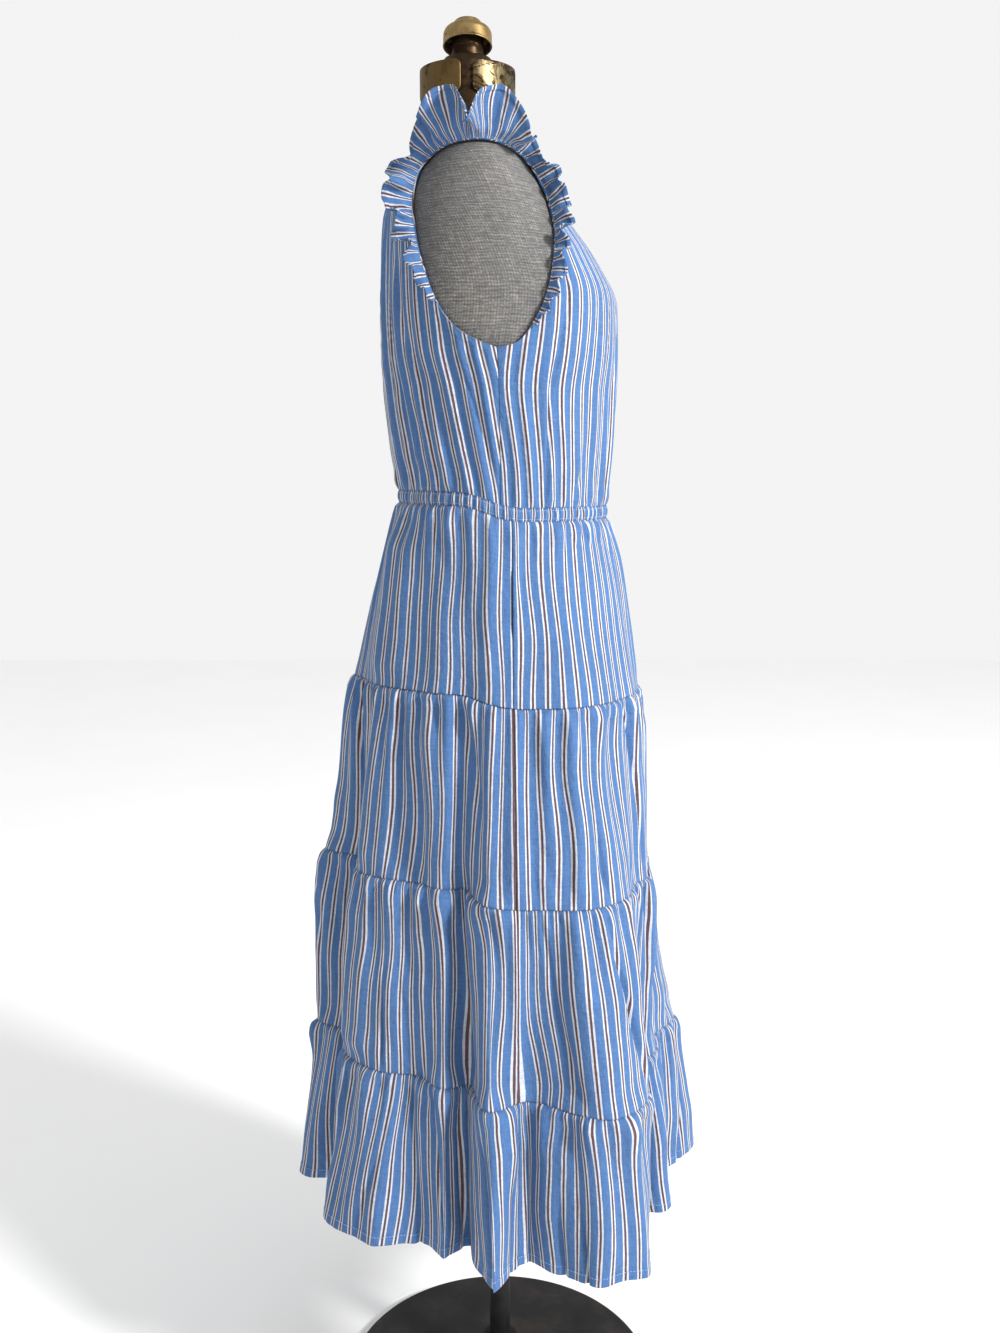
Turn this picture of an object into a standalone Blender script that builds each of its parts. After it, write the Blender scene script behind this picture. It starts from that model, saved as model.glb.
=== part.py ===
"""Tiered ruffle midi dress standing on a limbless dress form with a pole and a round foot.

Metres, +Z up. The front of the dress faces -Y and the wearer's right side faces -X.
The pole stands on the origin. Heights in the tables are measured from the top of the waistband.
In the plan tables an angle of 0 is the front, 90 the wearer's right side and 180 the back.
"""

from collections import namedtuple
from math import acos, asin, atan2, cos, degrees, hypot, pi, radians, sin

import bpy
import numpy as np

WAIST_Z = 1.100
BAND_HIGH = 0.014
CLOTH_WALL = 0.0012
TIER_WALL = 0.0013
SEAM_GAP = 0.0005
EDGE_TRIM = SEAM_GAP / 2

# Outside of the bodice, and below the waist the form itself: half width, front, back, widest point.
Section = namedtuple("Section", "high half_width front back middle power")
BODY = [
    Section(-0.200, 0.1360, 0.1120, -0.1180, 0.000, 2.0),
    Section(-0.120, 0.1370, 0.1170, -0.1240, 0.000, 2.0),
    Section(-0.050, 0.1365, 0.1170, -0.1150, 0.000, 2.0),
    Section(0.000, 0.1370, 0.1200, -0.1140, 0.000, 2.0),
    Section(0.050, 0.1410, 0.1250, -0.1200, 0.000, 2.0),
    Section(0.116, 0.1490, 0.1290, -0.1270, -0.001, 2.0),
    Section(0.161, 0.1560, 0.1310, -0.1290, -0.003, 2.1),
    Section(0.215, 0.1620, 0.1290, -0.1290, -0.007, 2.2),
    Section(0.260, 0.1660, 0.1080, -0.1280, -0.010, 2.2),
    Section(0.305, 0.1690, 0.0738, -0.1244, -0.014, 2.2),
    Section(0.335, 0.1700, 0.0560, -0.1140, -0.017, 2.1),
    Section(0.350, 0.1680, 0.0470, -0.1040, -0.018, 2.0),
    Section(0.358, 0.1630, 0.0430, -0.0980, -0.019, 2.0),
    Section(0.370, 0.1440, 0.0350, -0.0920, -0.022, 2.0),
    Section(0.385, 0.1130, 0.0280, -0.0870, -0.026, 2.0),
    Section(0.400, 0.0830, 0.0220, -0.0850, -0.030, 2.0),
    Section(0.411, 0.0650, 0.0190, -0.0860, -0.033, 2.0),
    Section(0.419, 0.0545, 0.0168, -0.0868, -0.035, 2.0),
    Section(0.424, 0.0516, 0.0163, -0.0866, -0.035, 2.0),
    Section(0.440, 0.0516, 0.0163, -0.0866, -0.035, 2.0),
]

# How far the form lies inside the outside of the cloth.
Inset = namedtuple("Inset", "high depth")
FORM_INSETS = [
    Inset(-0.200, 0.0010),
    Inset(-0.050, 0.0030),
    Inset(0.000, 0.0060),
    Inset(0.116, 0.0060),
    Inset(0.215, 0.0040),
    Inset(0.305, 0.0042),
    Inset(0.358, 0.0050),
    Inset(0.400, 0.0038),
    Inset(0.424, 0.0010),
    Inset(0.440, 0.0010),
]

UNDERARM_HIGH = 0.161
SHOULDER_HIGH = 0.3595
NECK_POINT_HALF = 0.076

# Armhole seen from the side, from the underarm up to the shoulder tip.
ArmholePoint = namedtuple("ArmholePoint", "high forward")
ARMHOLE_FRONT = [
    ArmholePoint(0.161, -0.003),
    ArmholePoint(0.165, 0.0146),
    ArmholePoint(0.184, 0.0332),
    ArmholePoint(0.207, 0.0451),
    ArmholePoint(0.236, 0.0524),
    ArmholePoint(0.272, 0.0555),
    ArmholePoint(0.306, 0.0500),
    ArmholePoint(0.333, 0.0380),
    ArmholePoint(0.351, 0.0200),
    ArmholePoint(0.3575, 0.0000),
    ArmholePoint(0.3595, -0.0210),
]
ARMHOLE_BACK = [
    ArmholePoint(0.161, -0.003),
    ArmholePoint(0.168, -0.0222),
    ArmholePoint(0.182, -0.0457),
    ArmholePoint(0.2075, -0.0647),
    ArmholePoint(0.236, -0.0760),
    ArmholePoint(0.268, -0.0845),
    ArmholePoint(0.302, -0.0885),
    ArmholePoint(0.3320, -0.0830),
    ArmholePoint(0.3500, -0.0670),
    ArmholePoint(0.3580, -0.0440),
    ArmholePoint(0.3595, -0.0210),
]

# Neckline seen from the front, from its lowest point to the neck point on the shoulder.
NeckPoint = namedtuple("NeckPoint", "half high")
NECK_FRONT = [
    NeckPoint(0.000, 0.300),
    NeckPoint(0.024, 0.309),
    NeckPoint(0.044, 0.331),
    NeckPoint(0.058, 0.357),
    NeckPoint(0.068, 0.382),
]
NECK_BACK = [
    NeckPoint(0.000, 0.386),
    NeckPoint(0.030, 0.388),
    NeckPoint(0.055, 0.394),
    NeckPoint(0.068, 0.399),
]
BODICE_ROWS = 15
BODICE_COLUMNS = 9
SIDE_SHARE = 0.34
CENTRE_SHARE_FRONT = 0.60
CENTRE_SHARE_BACK = 0.74

# Heights of the seams under the waistband and of the hem.
SEAMS = [-BAND_HIGH, -0.208, -0.414, -0.621, -0.800]
WAIST_HALF_WIDTH = 0.137
WAIST_FRONT = 0.120
WAIST_BACK = 0.114

# Ridges and valleys of the skirt in plan: angle and radius at the three seams and at the hem.
Fold = namedtuple("Fold", "angle_1 radius_1 angle_2 radius_2 angle_3 radius_3 angle_hem radius_hem")
FOLDS = [
    Fold(-3, 0.160, -3, 0.173, -4, 0.213, -10, 0.245),
    Fold(14, 0.158, 14, 0.168, 14, 0.186, 13, 0.190),
    Fold(26, 0.163, 27, 0.186, 27, 0.198, 31, 0.220),
    Fold(33, 0.161, 35, 0.183, 38, 0.184, 42, 0.174),
    Fold(48, 0.166, 50, 0.207, 52, 0.255, 55, 0.282),
    Fold(61, 0.167, 63, 0.213, 63, 0.271, 66, 0.283),
    Fold(78, 0.158, 80, 0.196, 82, 0.205, 82, 0.206),
    Fold(93, 0.158, 94, 0.197, 94, 0.234, 92, 0.278),
    Fold(105, 0.147, 104, 0.154, 100, 0.173, 99, 0.184),
    Fold(116, 0.154, 112, 0.170, 108, 0.198, 104.5, 0.238),
    Fold(126, 0.150, 123, 0.162, 119, 0.180, 112, 0.208),
    Fold(138, 0.154, 136, 0.175, 134, 0.200, 126, 0.238),
    Fold(151, 0.158, 150, 0.183, 150, 0.203, 142, 0.243),
    Fold(164, 0.157, 165, 0.164, 164, 0.174, 156, 0.170),
    Fold(178, 0.168, 179, 0.208, 178, 0.222, 170, 0.247),
    Fold(194, 0.157, 193, 0.172, 191, 0.184, 188, 0.187),
    Fold(210, 0.160, 210, 0.188, 209, 0.218, 207, 0.249),
    Fold(226, 0.151, 226, 0.160, 227, 0.171, 227, 0.176),
    Fold(241, 0.156, 242, 0.188, 243, 0.228, 244, 0.262),
    Fold(255, 0.151, 256, 0.172, 257, 0.192, 257, 0.200),
    Fold(269, 0.157, 270, 0.196, 271, 0.236, 271, 0.273),
    Fold(282, 0.150, 282, 0.163, 282, 0.172, 281, 0.171),
    Fold(298, 0.162, 298, 0.203, 297, 0.249, 296, 0.271),
    Fold(314, 0.158, 313, 0.172, 313, 0.180, 313, 0.179),
    Fold(330, 0.162, 329, 0.186, 329, 0.210, 328, 0.238),
    Fold(344, 0.158, 343, 0.168, 342, 0.182, 340, 0.188),
]

# Gathers of each tier: how many all round, and how far they stand out just under the seam.
Tier = namedtuple("Tier", "name gathers stand_out puff seed")
TIERS = [
    Tier("tier_1", 34, 0.0018, 0.0020, 3),
    Tier("tier_2", 36, 0.0032, 0.0035, 8),
    Tier("tier_3", 38, 0.0034, 0.0040, 15),
    Tier("tier_4", 40, 0.0034, 0.0040, 24),
]
# Rows of a tier: how far down, share of the gather, share of the puff.
TierRow = namedtuple("TierRow", "down gather puff")
TIER_ROWS = [
    TierRow(0.00, 0.25, 0.0),
    TierRow(0.08, 1.00, 1.0),
    TierRow(0.45, 0.40, 0.6),
    TierRow(1.00, 0.10, 0.0),
]
SIDE_SEAM_ANGLE = 85.0
# The cloth hangs higher at the back: rise by height, and share of it by angle round the waist.
Lift = namedtuple("Lift", "high rise")
BACK_LIFTS = [
    Lift(-0.800, 0.008),
    Lift(-0.621, 0.006),
    Lift(-0.414, 0.011),
    Lift(-0.208, 0.014),
    Lift(0.000, 0.017),
    Lift(0.161, 0.000),
]
LiftShare = namedtuple("LiftShare", "angle share")
BACK_LIFT_SHARES = [
    LiftShare(80, 0.00),
    LiftShare(90, 0.22),
    LiftShare(100, 0.64),
    LiftShare(110, 0.92),
    LiftShare(120, 1.00),
]
FRONT_COLUMNS = 64
BACK_COLUMNS = 70
RING_SAMPLES = 1440
RING_BLUR_DEGREES = 1.5
END_STEP = 2.5
PANELS = {}

BAND_WAVES = 30
BAND_WAVE_DEPTH = 0.0007
BAND_COLUMNS = 90

# Armhole ruffle: angle round the armhole from the shoulder tip, positive to the front,
# width, and lean from flat against the shoulder line towards straight out sideways.
RuffleRow = namedtuple("RuffleRow", "angle width lean")
RUFFLE = [
    RuffleRow(148, 0.004, 45),
    RuffleRow(130, 0.009, 38),
    RuffleRow(112, 0.012, 58),
    RuffleRow(96, 0.015, 30),
    RuffleRow(80, 0.018, 60),
    RuffleRow(65, 0.019, 28),
    RuffleRow(50, 0.021, 62),
    RuffleRow(37, 0.021, 32),
    RuffleRow(24, 0.021, 48),
    RuffleRow(13, 0.036, 26),
    RuffleRow(4, 0.048, 16),
    RuffleRow(-6, 0.048, 92),
    RuffleRow(-15, 0.052, 12),
    RuffleRow(-25, 0.038, 34),
    RuffleRow(-35, 0.025, 64),
    RuffleRow(-45, 0.025, 30),
    RuffleRow(-55, 0.030, 58),
    RuffleRow(-66, 0.028, 24),
    RuffleRow(-77, 0.024, 46),
    RuffleRow(-90, 0.018, 56),
    RuffleRow(-102, 0.015, 30),
    RuffleRow(-114, 0.012, 56),
    RuffleRow(-126, 0.009, 36),
    RuffleRow(-137, 0.004, 45),
]
RUFFLE_BASE_LEAN = 45.0
RUFFLE_COLUMNS = 66
RUFFLE_ROWS = 4
RUFFLE_STAND_OFF = 0.0018
ARMHOLE_CENTRE_HIGH = 0.260
ARMHOLE_CENTRE_FORWARD = -0.016

# Pocket bag: how far down the tier its rows lie, and how many columns it spans from the side seam.
POCKET_ROWS = [0.18, 0.45, 0.92]
POCKET_COLUMNS = 11
POCKET_GAP = 0.0009
POCKET_WALL = 0.0012

FORM_COLUMNS = 32
FORM_BOTTOM = -0.200
FORM_BOTTOM_SHRINK = 0.93
FORM_HIGHS = [
    -0.190, -0.120, -0.050, 0.000, 0.060, 0.120, 0.170, 0.215, 0.260, 0.300, 0.330,
    0.348, 0.358, 0.366, 0.376, 0.388, 0.400, 0.409, 0.416,
]
NECK_FORWARD = -0.035
NECK_RADIUS = 0.0490
PLATE_WALL = 0.0020
PLATE_LOW = 0.4314
PLATE_HIGH = 0.4640
PLATE_ARC = 76.0
PLATE_STEPS = 8

# Turned profiles from the bottom up.
Turn = namedtuple("Turn", "radius high")
NECK_CORE = [
    Turn(NECK_RADIUS, 0.4166),
    Turn(NECK_RADIUS, 0.4590),
    Turn(0.0465, 0.4590),
    Turn(0.0465, 0.4400),
    Turn(0.0285, 0.4400),
    Turn(0.0285, 0.4700),
    Turn(0.0250, 0.4770),
    Turn(0.0170, 0.4780),
    Turn(0.0170, 0.5001),
]
NECK_CAP = [
    Turn(0.0100, 0.0140),
    Turn(0.0200, 0.0136),
    Turn(0.0238, 0.0090),
    Turn(0.0246, 0.0000),
    Turn(0.0262, -0.0006),
    Turn(0.0268, 0.0004),
    Turn(0.0262, 0.0020),
    Turn(0.0262, 0.0125),
    Turn(0.0250, 0.0162),
    Turn(0.0205, 0.0196),
    Turn(0.0156, 0.0222),
    Turn(0.0150, 0.0258),
    Turn(0.0130, 0.0268),
]
NECK_CAP_HIGH = 0.490
NECK_CAP_TILT = 12.0
FOOT_TOP = 0.014
STAND_FOOT = [
    Turn(0.188, 0.000),
    Turn(0.190, 0.002),
    Turn(0.190, 0.010),
    Turn(0.186, FOOT_TOP),
]
HUB_TOP = 0.060
STAND_HUB = [
    Turn(0.040, FOOT_TOP + SEAM_GAP),
    Turn(0.038, 0.018),
    Turn(0.028, 0.026),
    Turn(0.023, 0.040),
    Turn(0.021, HUB_TOP),
]
POLE_RADIUS = 0.0125
POLE_LENGTH = WAIST_Z + FORM_BOTTOM - HUB_TOP - 2 * SEAM_GAP
STAND_STEPS = 24


def pchip(xs, ys, x):
    """Smooth curve through the table with no overshoot."""
    xs = np.asarray(xs, float)
    ys = np.asarray(ys, float)
    step = np.diff(xs)
    slope = np.diff(ys) / step
    tangent = np.zeros(len(xs))
    for i in range(1, len(xs) - 1):
        if slope[i - 1] * slope[i] > 0:
            first = 2 * step[i] + step[i - 1]
            second = step[i] + 2 * step[i - 1]
            tangent[i] = (first + second) / (first / slope[i - 1] + second / slope[i])
    tangent[0] = slope[0]
    tangent[-1] = slope[-1]
    x = np.clip(np.asarray(x, float), xs[0], xs[-1])
    i = np.clip(np.searchsorted(xs, x) - 1, 0, len(xs) - 2)
    t = (x - xs[i]) / step[i]
    return (
        (2 * t**3 - 3 * t**2 + 1) * ys[i]
        + (t**3 - 2 * t**2 + t) * step[i] * tangent[i]
        + (3 * t**2 - 2 * t**3) * ys[i + 1]
        + (t**3 - t**2) * step[i] * tangent[i + 1]
    )


def section_at(high):
    """Half width, front, back, middle and power of the body at a height."""
    highs = [row.high for row in BODY]
    return Section(high, *(float(pchip(highs, [row[i] for row in BODY], high)) for i in range(1, 6)))


def body_point(theta, high):
    """Point on the body: theta 0 is the front, pi / 2 the wearer's right side."""
    s = section_at(high)
    depth = s.front - s.middle if cos(theta) >= 0 else s.middle - s.back
    across = s.half_width * np.sign(sin(theta)) * abs(sin(theta)) ** (2 / s.power)
    forward = s.middle + depth * np.sign(cos(theta)) * abs(cos(theta)) ** (2 / s.power)
    return np.array([-across, -forward, WAIST_Z + high])


def body_normal(theta, high):
    """Outward direction of the body surface."""
    turn = 0.02
    rise = 0.0015
    low = max(high - rise, BODY[0].high)
    top = min(high + rise, BODY[-1].high)
    round_body = body_point(theta + turn, high) - body_point(theta - turn, high)
    up_body = body_point(theta, top) - body_point(theta, low)
    normal = np.cross(up_body, round_body)
    return normal / np.linalg.norm(normal)


def theta_of_forward(forward, high):
    s = section_at(high)
    depth = s.front - s.middle if forward >= s.middle else s.middle - s.back
    share = min(abs(forward - s.middle) / depth, 1.0)
    turned = share ** (s.power / 2)
    return acos(turned) if forward >= s.middle else pi - acos(turned)


def theta_of_half(half, high, at_back):
    s = section_at(high)
    turned = asin(min(half / s.half_width, 1.0) ** (s.power / 2))
    return pi - turned if at_back else turned


def walk(points, count):
    """Equal steps along a line of points."""
    points = np.asarray(points, float)
    length = np.concatenate([[0], np.cumsum(np.linalg.norm(np.diff(points, axis=0), axis=1))])
    at = np.linspace(0, length[-1], count)
    return np.stack([np.interp(at, length, points[:, i]) for i in range(points.shape[1])], axis=1)


def armhole_side(table):
    """Fine line of (theta, high) from the underarm to the shoulder tip."""
    along = np.linspace(0, 1, 61)
    knots = np.linspace(0, 1, len(table))
    highs = pchip(knots, [row.high for row in table], along)
    forwards = pchip(knots, [row.forward for row in table], along)
    line = [(theta_of_forward(f, h), h) for f, h in zip(forwards, highs)]
    line[0] = (pi / 2, UNDERARM_HIGH)
    line[-1] = (pi / 2, SHOULDER_HIGH)
    return line


def neck_point_high():
    """Height on the shoulder line at which the body is as wide as the neckline."""
    highs = np.linspace(SHOULDER_HIGH, BODY[-1].high, 400)
    widths = [section_at(h).half_width for h in highs]
    return float(np.interp(-NECK_POINT_HALF, -np.asarray(widths), highs))


def neck_side(table, at_back):
    along = np.linspace(0, 1, 41)
    rows = table + [NeckPoint(NECK_POINT_HALF, neck_point_high())]
    knots = np.linspace(0, 1, len(rows))
    halves = pchip(knots, [row.half for row in rows], along)
    highs = pchip(knots, [row.high for row in rows], along)
    line = [(theta_of_half(a, h, at_back), h) for a, h in zip(halves, highs)]
    line[-1] = (pi / 2, rows[-1].high)
    return line


def metric_walk(line, count):
    """Equal steps, in metres on the body, along a line of (theta, high)."""
    spots = np.array([body_point(t, h) for t, h in line])
    length = np.concatenate([[0], np.cumsum(np.linalg.norm(np.diff(spots, axis=0), axis=1))])
    at = np.linspace(0, length[-1], count)
    line = np.asarray(line, float)
    return np.stack([np.interp(at, length, line[:, i]) for i in range(2)], axis=1)


def bodice_half(at_back):
    """Grid of (theta, high) of one half of a bodice panel, side column first, and its split row."""
    low = SEAM_GAP
    side_rows = round(BODICE_ROWS * SIDE_SHARE)
    share = CENTRE_SHARE_BACK if at_back else CENTRE_SHARE_FRONT
    centre_rows = round(BODICE_ROWS * share)
    arm = metric_walk(armhole_side(ARMHOLE_BACK if at_back else ARMHOLE_FRONT), BODICE_ROWS - side_rows + 1)
    neck_line = neck_side(NECK_BACK if at_back else NECK_FRONT, at_back)
    neck = metric_walk(neck_line, BODICE_ROWS - centre_rows + 1)
    centre_theta = pi if at_back else 0.0
    centre_top = neck[0][1]
    side = [(pi / 2, low + (UNDERARM_HIGH - low) * i / side_rows) for i in range(side_rows)]
    side += [tuple(p) for p in arm]
    middle = [(centre_theta, low + (centre_top - low) * i / centre_rows) for i in range(centre_rows)]
    middle += [tuple(p) for p in neck]
    grid = np.zeros((BODICE_ROWS + 1, BODICE_COLUMNS + 1, 2))
    for i in range(BODICE_ROWS + 1):
        for j in range(BODICE_COLUMNS + 1):
            t = j / BODICE_COLUMNS
            grid[i, j] = (1 - t) * np.array(side[i]) + t * np.array(middle[i])
    return grid, centre_rows


def trimmed(theta, high, at_back):
    """Pull a point that lies on the side or shoulder line back by half a seam gap."""
    if abs(theta - pi / 2) > 1e-9:
        return theta
    step = 0.001
    side = 1 if at_back else -1
    metres = np.linalg.norm(body_point(theta + side * step, high) - body_point(theta, high)) / step
    return theta + side * EDGE_TRIM / metres


def cloth(name, points, faces, wall, inward):
    """Closed thin solid: the surface, a copy moved inward, and walls along its free edges."""
    points = np.asarray(points, float)
    inner = points + np.asarray(inward) * wall
    count = len(points)
    faces = [t for f in faces for t in halves_of(f, points)]
    solid = [tuple(f) for f in faces]
    solid += [tuple(count + k for k in reversed(f)) for f in faces]
    uses = {}
    for f in faces:
        for a, b in zip(f, list(f[1:]) + [f[0]]):
            uses[(a, b)] = uses.get((a, b), 0) + 1
    for a, b in uses:
        if (b, a) not in uses:
            solid.append((b, a, count + a, count + b))
    return add_mesh(name, np.vstack([points, inner]), solid)


def halves_of(face, points):
    """The two triangles of a face, cut along its shorter diagonal."""
    a, b, c, d = face
    if np.linalg.norm(points[a] - points[c]) <= np.linalg.norm(points[b] - points[d]):
        return [[a, b, c], [a, c, d]]
    return [[a, b, d], [b, c, d]]


def add_mesh(name, points, faces):
    mesh = bpy.data.meshes.new(name)
    mesh.from_pydata([tuple(p) for p in points], [], [list(f) for f in faces])
    mesh.validate()
    mesh.update()
    if signed_volume(points, faces) < 0:
        mesh.flip_normals()
    node = bpy.data.objects.new(name, mesh)
    DRESS.objects.link(node)
    return node


def signed_volume(points, faces):
    total = 0.0
    for f in faces:
        for k in range(1, len(f) - 1):
            total += np.dot(points[f[0]], np.cross(points[f[k]], points[f[k + 1]]))
    return total


def back_lift(spot, high):
    """How much higher a point of the cloth hangs than its place in the tables."""
    depth = WAIST_FRONT if spot[1] <= 0 else WAIST_BACK
    angle = degrees(atan2(abs(spot[0]) / WAIST_HALF_WIDTH, -spot[1] / depth))
    share = np.interp(angle, [row.angle for row in BACK_LIFT_SHARES], [row.share for row in BACK_LIFT_SHARES])
    return share * float(pchip([row.high for row in BACK_LIFTS], [row.rise for row in BACK_LIFTS], high))


def bodice_panel(name, at_back):
    """Front or back bodice, both halves in one piece with the neckline between them."""
    grid, split = bodice_half(at_back)
    points = []
    inward = []
    index = {}
    faces = []
    for half in (1, -1):
        for i in range(BODICE_ROWS + 1):
            for j in range(BODICE_COLUMNS + 1):
                if half < 0 and j == BODICE_COLUMNS and i <= split:
                    index[half, i, j] = index[1, i, j]
                    continue
                theta, high = grid[i, j]
                theta = trimmed(theta, high, at_back)
                spot = body_point(theta, high)
                normal = body_normal(theta, high)
                spot[0] *= half
                normal[0] *= half
                spot[2] += back_lift(spot, high)
                index[half, i, j] = len(points)
                points.append(spot)
                inward.append(-normal)
        for i in range(BODICE_ROWS):
            for j in range(BODICE_COLUMNS):
                corner = [(i, j), (i, j + 1), (i + 1, j + 1), (i + 1, j)]
                if half < 0:
                    corner.reverse()
                faces.append([index[half, a, b] for a, b in corner])
    return cloth(name, points, faces, CLOTH_WALL, inward)


def waist_radius(angle):
    """Radius of the waist seam in plan."""
    depth = WAIST_FRONT if cos(radians(angle)) >= 0 else WAIST_BACK
    return 1 / hypot(cos(radians(angle)) / depth, sin(radians(angle)) / WAIST_HALF_WIDTH)


RING_ANGLES = np.arange(RING_SAMPLES) * 360.0 / RING_SAMPLES
WAIST_RING = np.array([waist_radius(a) for a in RING_ANGLES])


def blurred(ring):
    """Round the ridges and valleys of a closed ring a little."""
    sigma = RING_BLUR_DEGREES * RING_SAMPLES / 360.0
    reach = int(3 * sigma)
    weight = np.exp(-0.5 * (np.arange(-reach, reach + 1) / sigma) ** 2)
    weight /= weight.sum()
    return np.convolve(np.concatenate([ring[-reach:], ring, ring[:reach]]), weight, "valid")


def fold_ring(angles, radii):
    """Closed ring through the ridges and valleys of the fold table."""
    angles = np.asarray(angles, float)
    radii = np.asarray(radii, float)
    wide = np.concatenate([angles - 360, angles, angles + 360])
    ring = pchip(wide, np.concatenate([radii, radii, radii]), RING_ANGLES)
    return blurred(ring)


def skirt_ring(high):
    """Radius of the skirt all round at a height, without gathers."""
    columns = np.array([[row[2 * k] for row in FOLDS] for k in range(4)], float)
    radii = np.array([[row[2 * k + 1] for row in FOLDS] for k in range(4)], float)
    if high >= SEAMS[1]:
        share = (SEAMS[0] - high) / (SEAMS[0] - SEAMS[1])
        below = fold_ring(columns[0], radii[0])
        return WAIST_RING + (below - WAIST_RING) * share**0.85
    level = 1 if high >= SEAMS[2] else 2 if high >= SEAMS[3] else 3
    share = (SEAMS[level] - high) / (SEAMS[level] - SEAMS[level + 1])
    angles = columns[level - 1] + (columns[level] - columns[level - 1]) * share
    reach = radii[level - 1] + (radii[level] - radii[level - 1]) * share
    return fold_ring(angles, reach)


def gather_ring(count, seed):
    """Uneven gathers all round, between -1 and 1."""
    rng = np.random.default_rng(seed)
    widths = rng.uniform(0.65, 1.35, count)
    edges = np.concatenate([[0], np.cumsum(widths)]) * 360.0 / widths.sum()
    phase = np.interp(RING_ANGLES, edges, np.arange(count + 1))
    strength = rng.uniform(0.55, 1.0, count)
    each = strength[np.minimum(phase.astype(int), count - 1)]
    return -np.cos(2 * pi * phase) * each


def at_angle(ring, angle):
    return np.interp(angle % 360.0, np.append(RING_ANGLES, 360.0), np.append(ring, ring[0]))


def column_angles(first, last, cells, hem_ring, top_radius):
    """Columns that stand closer together where the cloth runs in and out."""
    fine = np.linspace(first, last, 1200)
    radius = at_angle(hem_ring, fine)
    plan = np.stack([radius * np.cos(np.radians(fine)), radius * np.sin(np.radians(fine))], axis=1)
    run = np.linalg.norm(np.diff(plan, axis=0), axis=1)
    even = np.full(len(run), run.mean())
    length = np.concatenate([[0], np.cumsum(0.6 * run + 0.4 * even)])
    angles = np.interp(np.linspace(0, length[-1], cells + 1), length, fine)
    trim = degrees(EDGE_TRIM / top_radius)
    angles[0] += trim
    angles[-1] -= trim
    return angles


def plan_point(radius, angle, high):
    return np.array([-radius * sin(radians(angle)), -radius * cos(radians(angle)), WAIST_Z + high])


def plan_inward(row, closed):
    """Level inward direction at each point of a row, longer at bends so that the wall stays even."""
    row = np.asarray(row)[:, :2]
    if closed:
        before = row - np.roll(row, 1, axis=0)
        after = np.roll(row, -1, axis=0) - row
    else:
        edges = np.diff(row, axis=0)
        before = np.vstack([edges[:1], edges])
        after = np.vstack([edges, edges[-1:]])
    before /= np.linalg.norm(before, axis=1)[:, None]
    after /= np.linalg.norm(after, axis=1)[:, None]
    mean = before + after
    mean /= np.linalg.norm(mean, axis=1)[:, None]
    stretch = np.minimum(1 / np.maximum((mean * after).sum(axis=1), 0.7), 1.2)
    side = np.stack([-mean[:, 1], mean[:, 0]], axis=1) * stretch[:, None]
    toward = -(side * row).sum(axis=1)
    sign = 1.0 if toward.sum() > 0 else -1.0
    return np.hstack([side * sign, np.zeros((len(row), 1))])


def tier_surface(number, down, angle):
    """Radius of the outside of a tier at a share of its height and an angle."""
    tier = TIERS[number]
    top = SEAMS[number]
    bottom = SEAMS[number + 1]
    gather = np.interp(down, [r.down for r in TIER_ROWS], [r.gather for r in TIER_ROWS])
    puff = np.interp(down, [r.down for r in TIER_ROWS], [r.puff for r in TIER_ROWS])
    ring = skirt_ring(top + (bottom - top) * down)
    ring = ring + puff * tier.puff
    ring = ring + gather * tier.stand_out * gather_ring(tier.gathers, tier.seed)
    return at_angle(ring, angle)


def tier_panel(name, number, first, last, cells):
    """One panel of a tier between two side seams."""
    top = SEAMS[number] - EDGE_TRIM
    bottom = SEAMS[number + 1] + EDGE_TRIM
    top_radius = float(at_angle(skirt_ring(SEAMS[number]), first)) * 0.95
    angles = column_angles(first, last, cells, skirt_ring(SEAMS[number + 1]), top_radius)
    beyond = np.concatenate([[first - END_STEP], angles, [last + END_STEP]])
    points = []
    inward = []
    for row in TIER_ROWS:
        high = top + (bottom - top) * row.down
        radii = tier_surface(number, row.down, beyond)
        line = np.array([plan_point(r, a, high) for r, a in zip(radii, beyond)])
        line[:, 2] += [back_lift(spot, high) for spot in line]
        points.append(line[1:-1])
        inward.append(plan_inward(line, False)[1:-1])
    PANELS[name] = (np.array(points), np.array(inward))
    faces = grid_faces(len(TIER_ROWS), len(angles))
    return cloth(name, np.vstack(points), faces, TIER_WALL, np.vstack(inward))


def grid_faces(rows, wide):
    faces = []
    for i in range(rows - 1):
        for j in range(wide - 1):
            a = i * wide + j
            faces.append([a, a + 1, a + 1 + wide, a + wide])
    return faces


def waistband():
    """Elastic casing with small even puckers."""
    angles = np.arange(BAND_COLUMNS) * 360.0 / BAND_COLUMNS
    wave = BAND_WAVE_DEPTH * (0.5 - 0.5 * np.cos(np.radians(angles * BAND_WAVES)))
    radii = at_angle(WAIST_RING, angles) - wave
    rows = []
    for high in (0.0, -BAND_HIGH + EDGE_TRIM):
        outer = np.array([plan_point(r, a, high) for r, a in zip(radii, angles)])
        outer[:, 2] += [back_lift(spot, high) for spot in outer]
        inner = outer + plan_inward(outer, True) * TIER_WALL
        rows.append((outer, inner))
    points = np.vstack([rows[0][0], rows[1][0], rows[1][1], rows[0][1]])
    faces = []
    for ring in range(4):
        for j in range(BAND_COLUMNS):
            a = ring * BAND_COLUMNS + j
            b = ring * BAND_COLUMNS + (j + 1) % BAND_COLUMNS
            c = (ring + 1) % 4 * BAND_COLUMNS + (j + 1) % BAND_COLUMNS
            d = (ring + 1) % 4 * BAND_COLUMNS + j
            faces.append([a, b, c, d])
    return add_mesh("waistband", points, faces)


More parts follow.
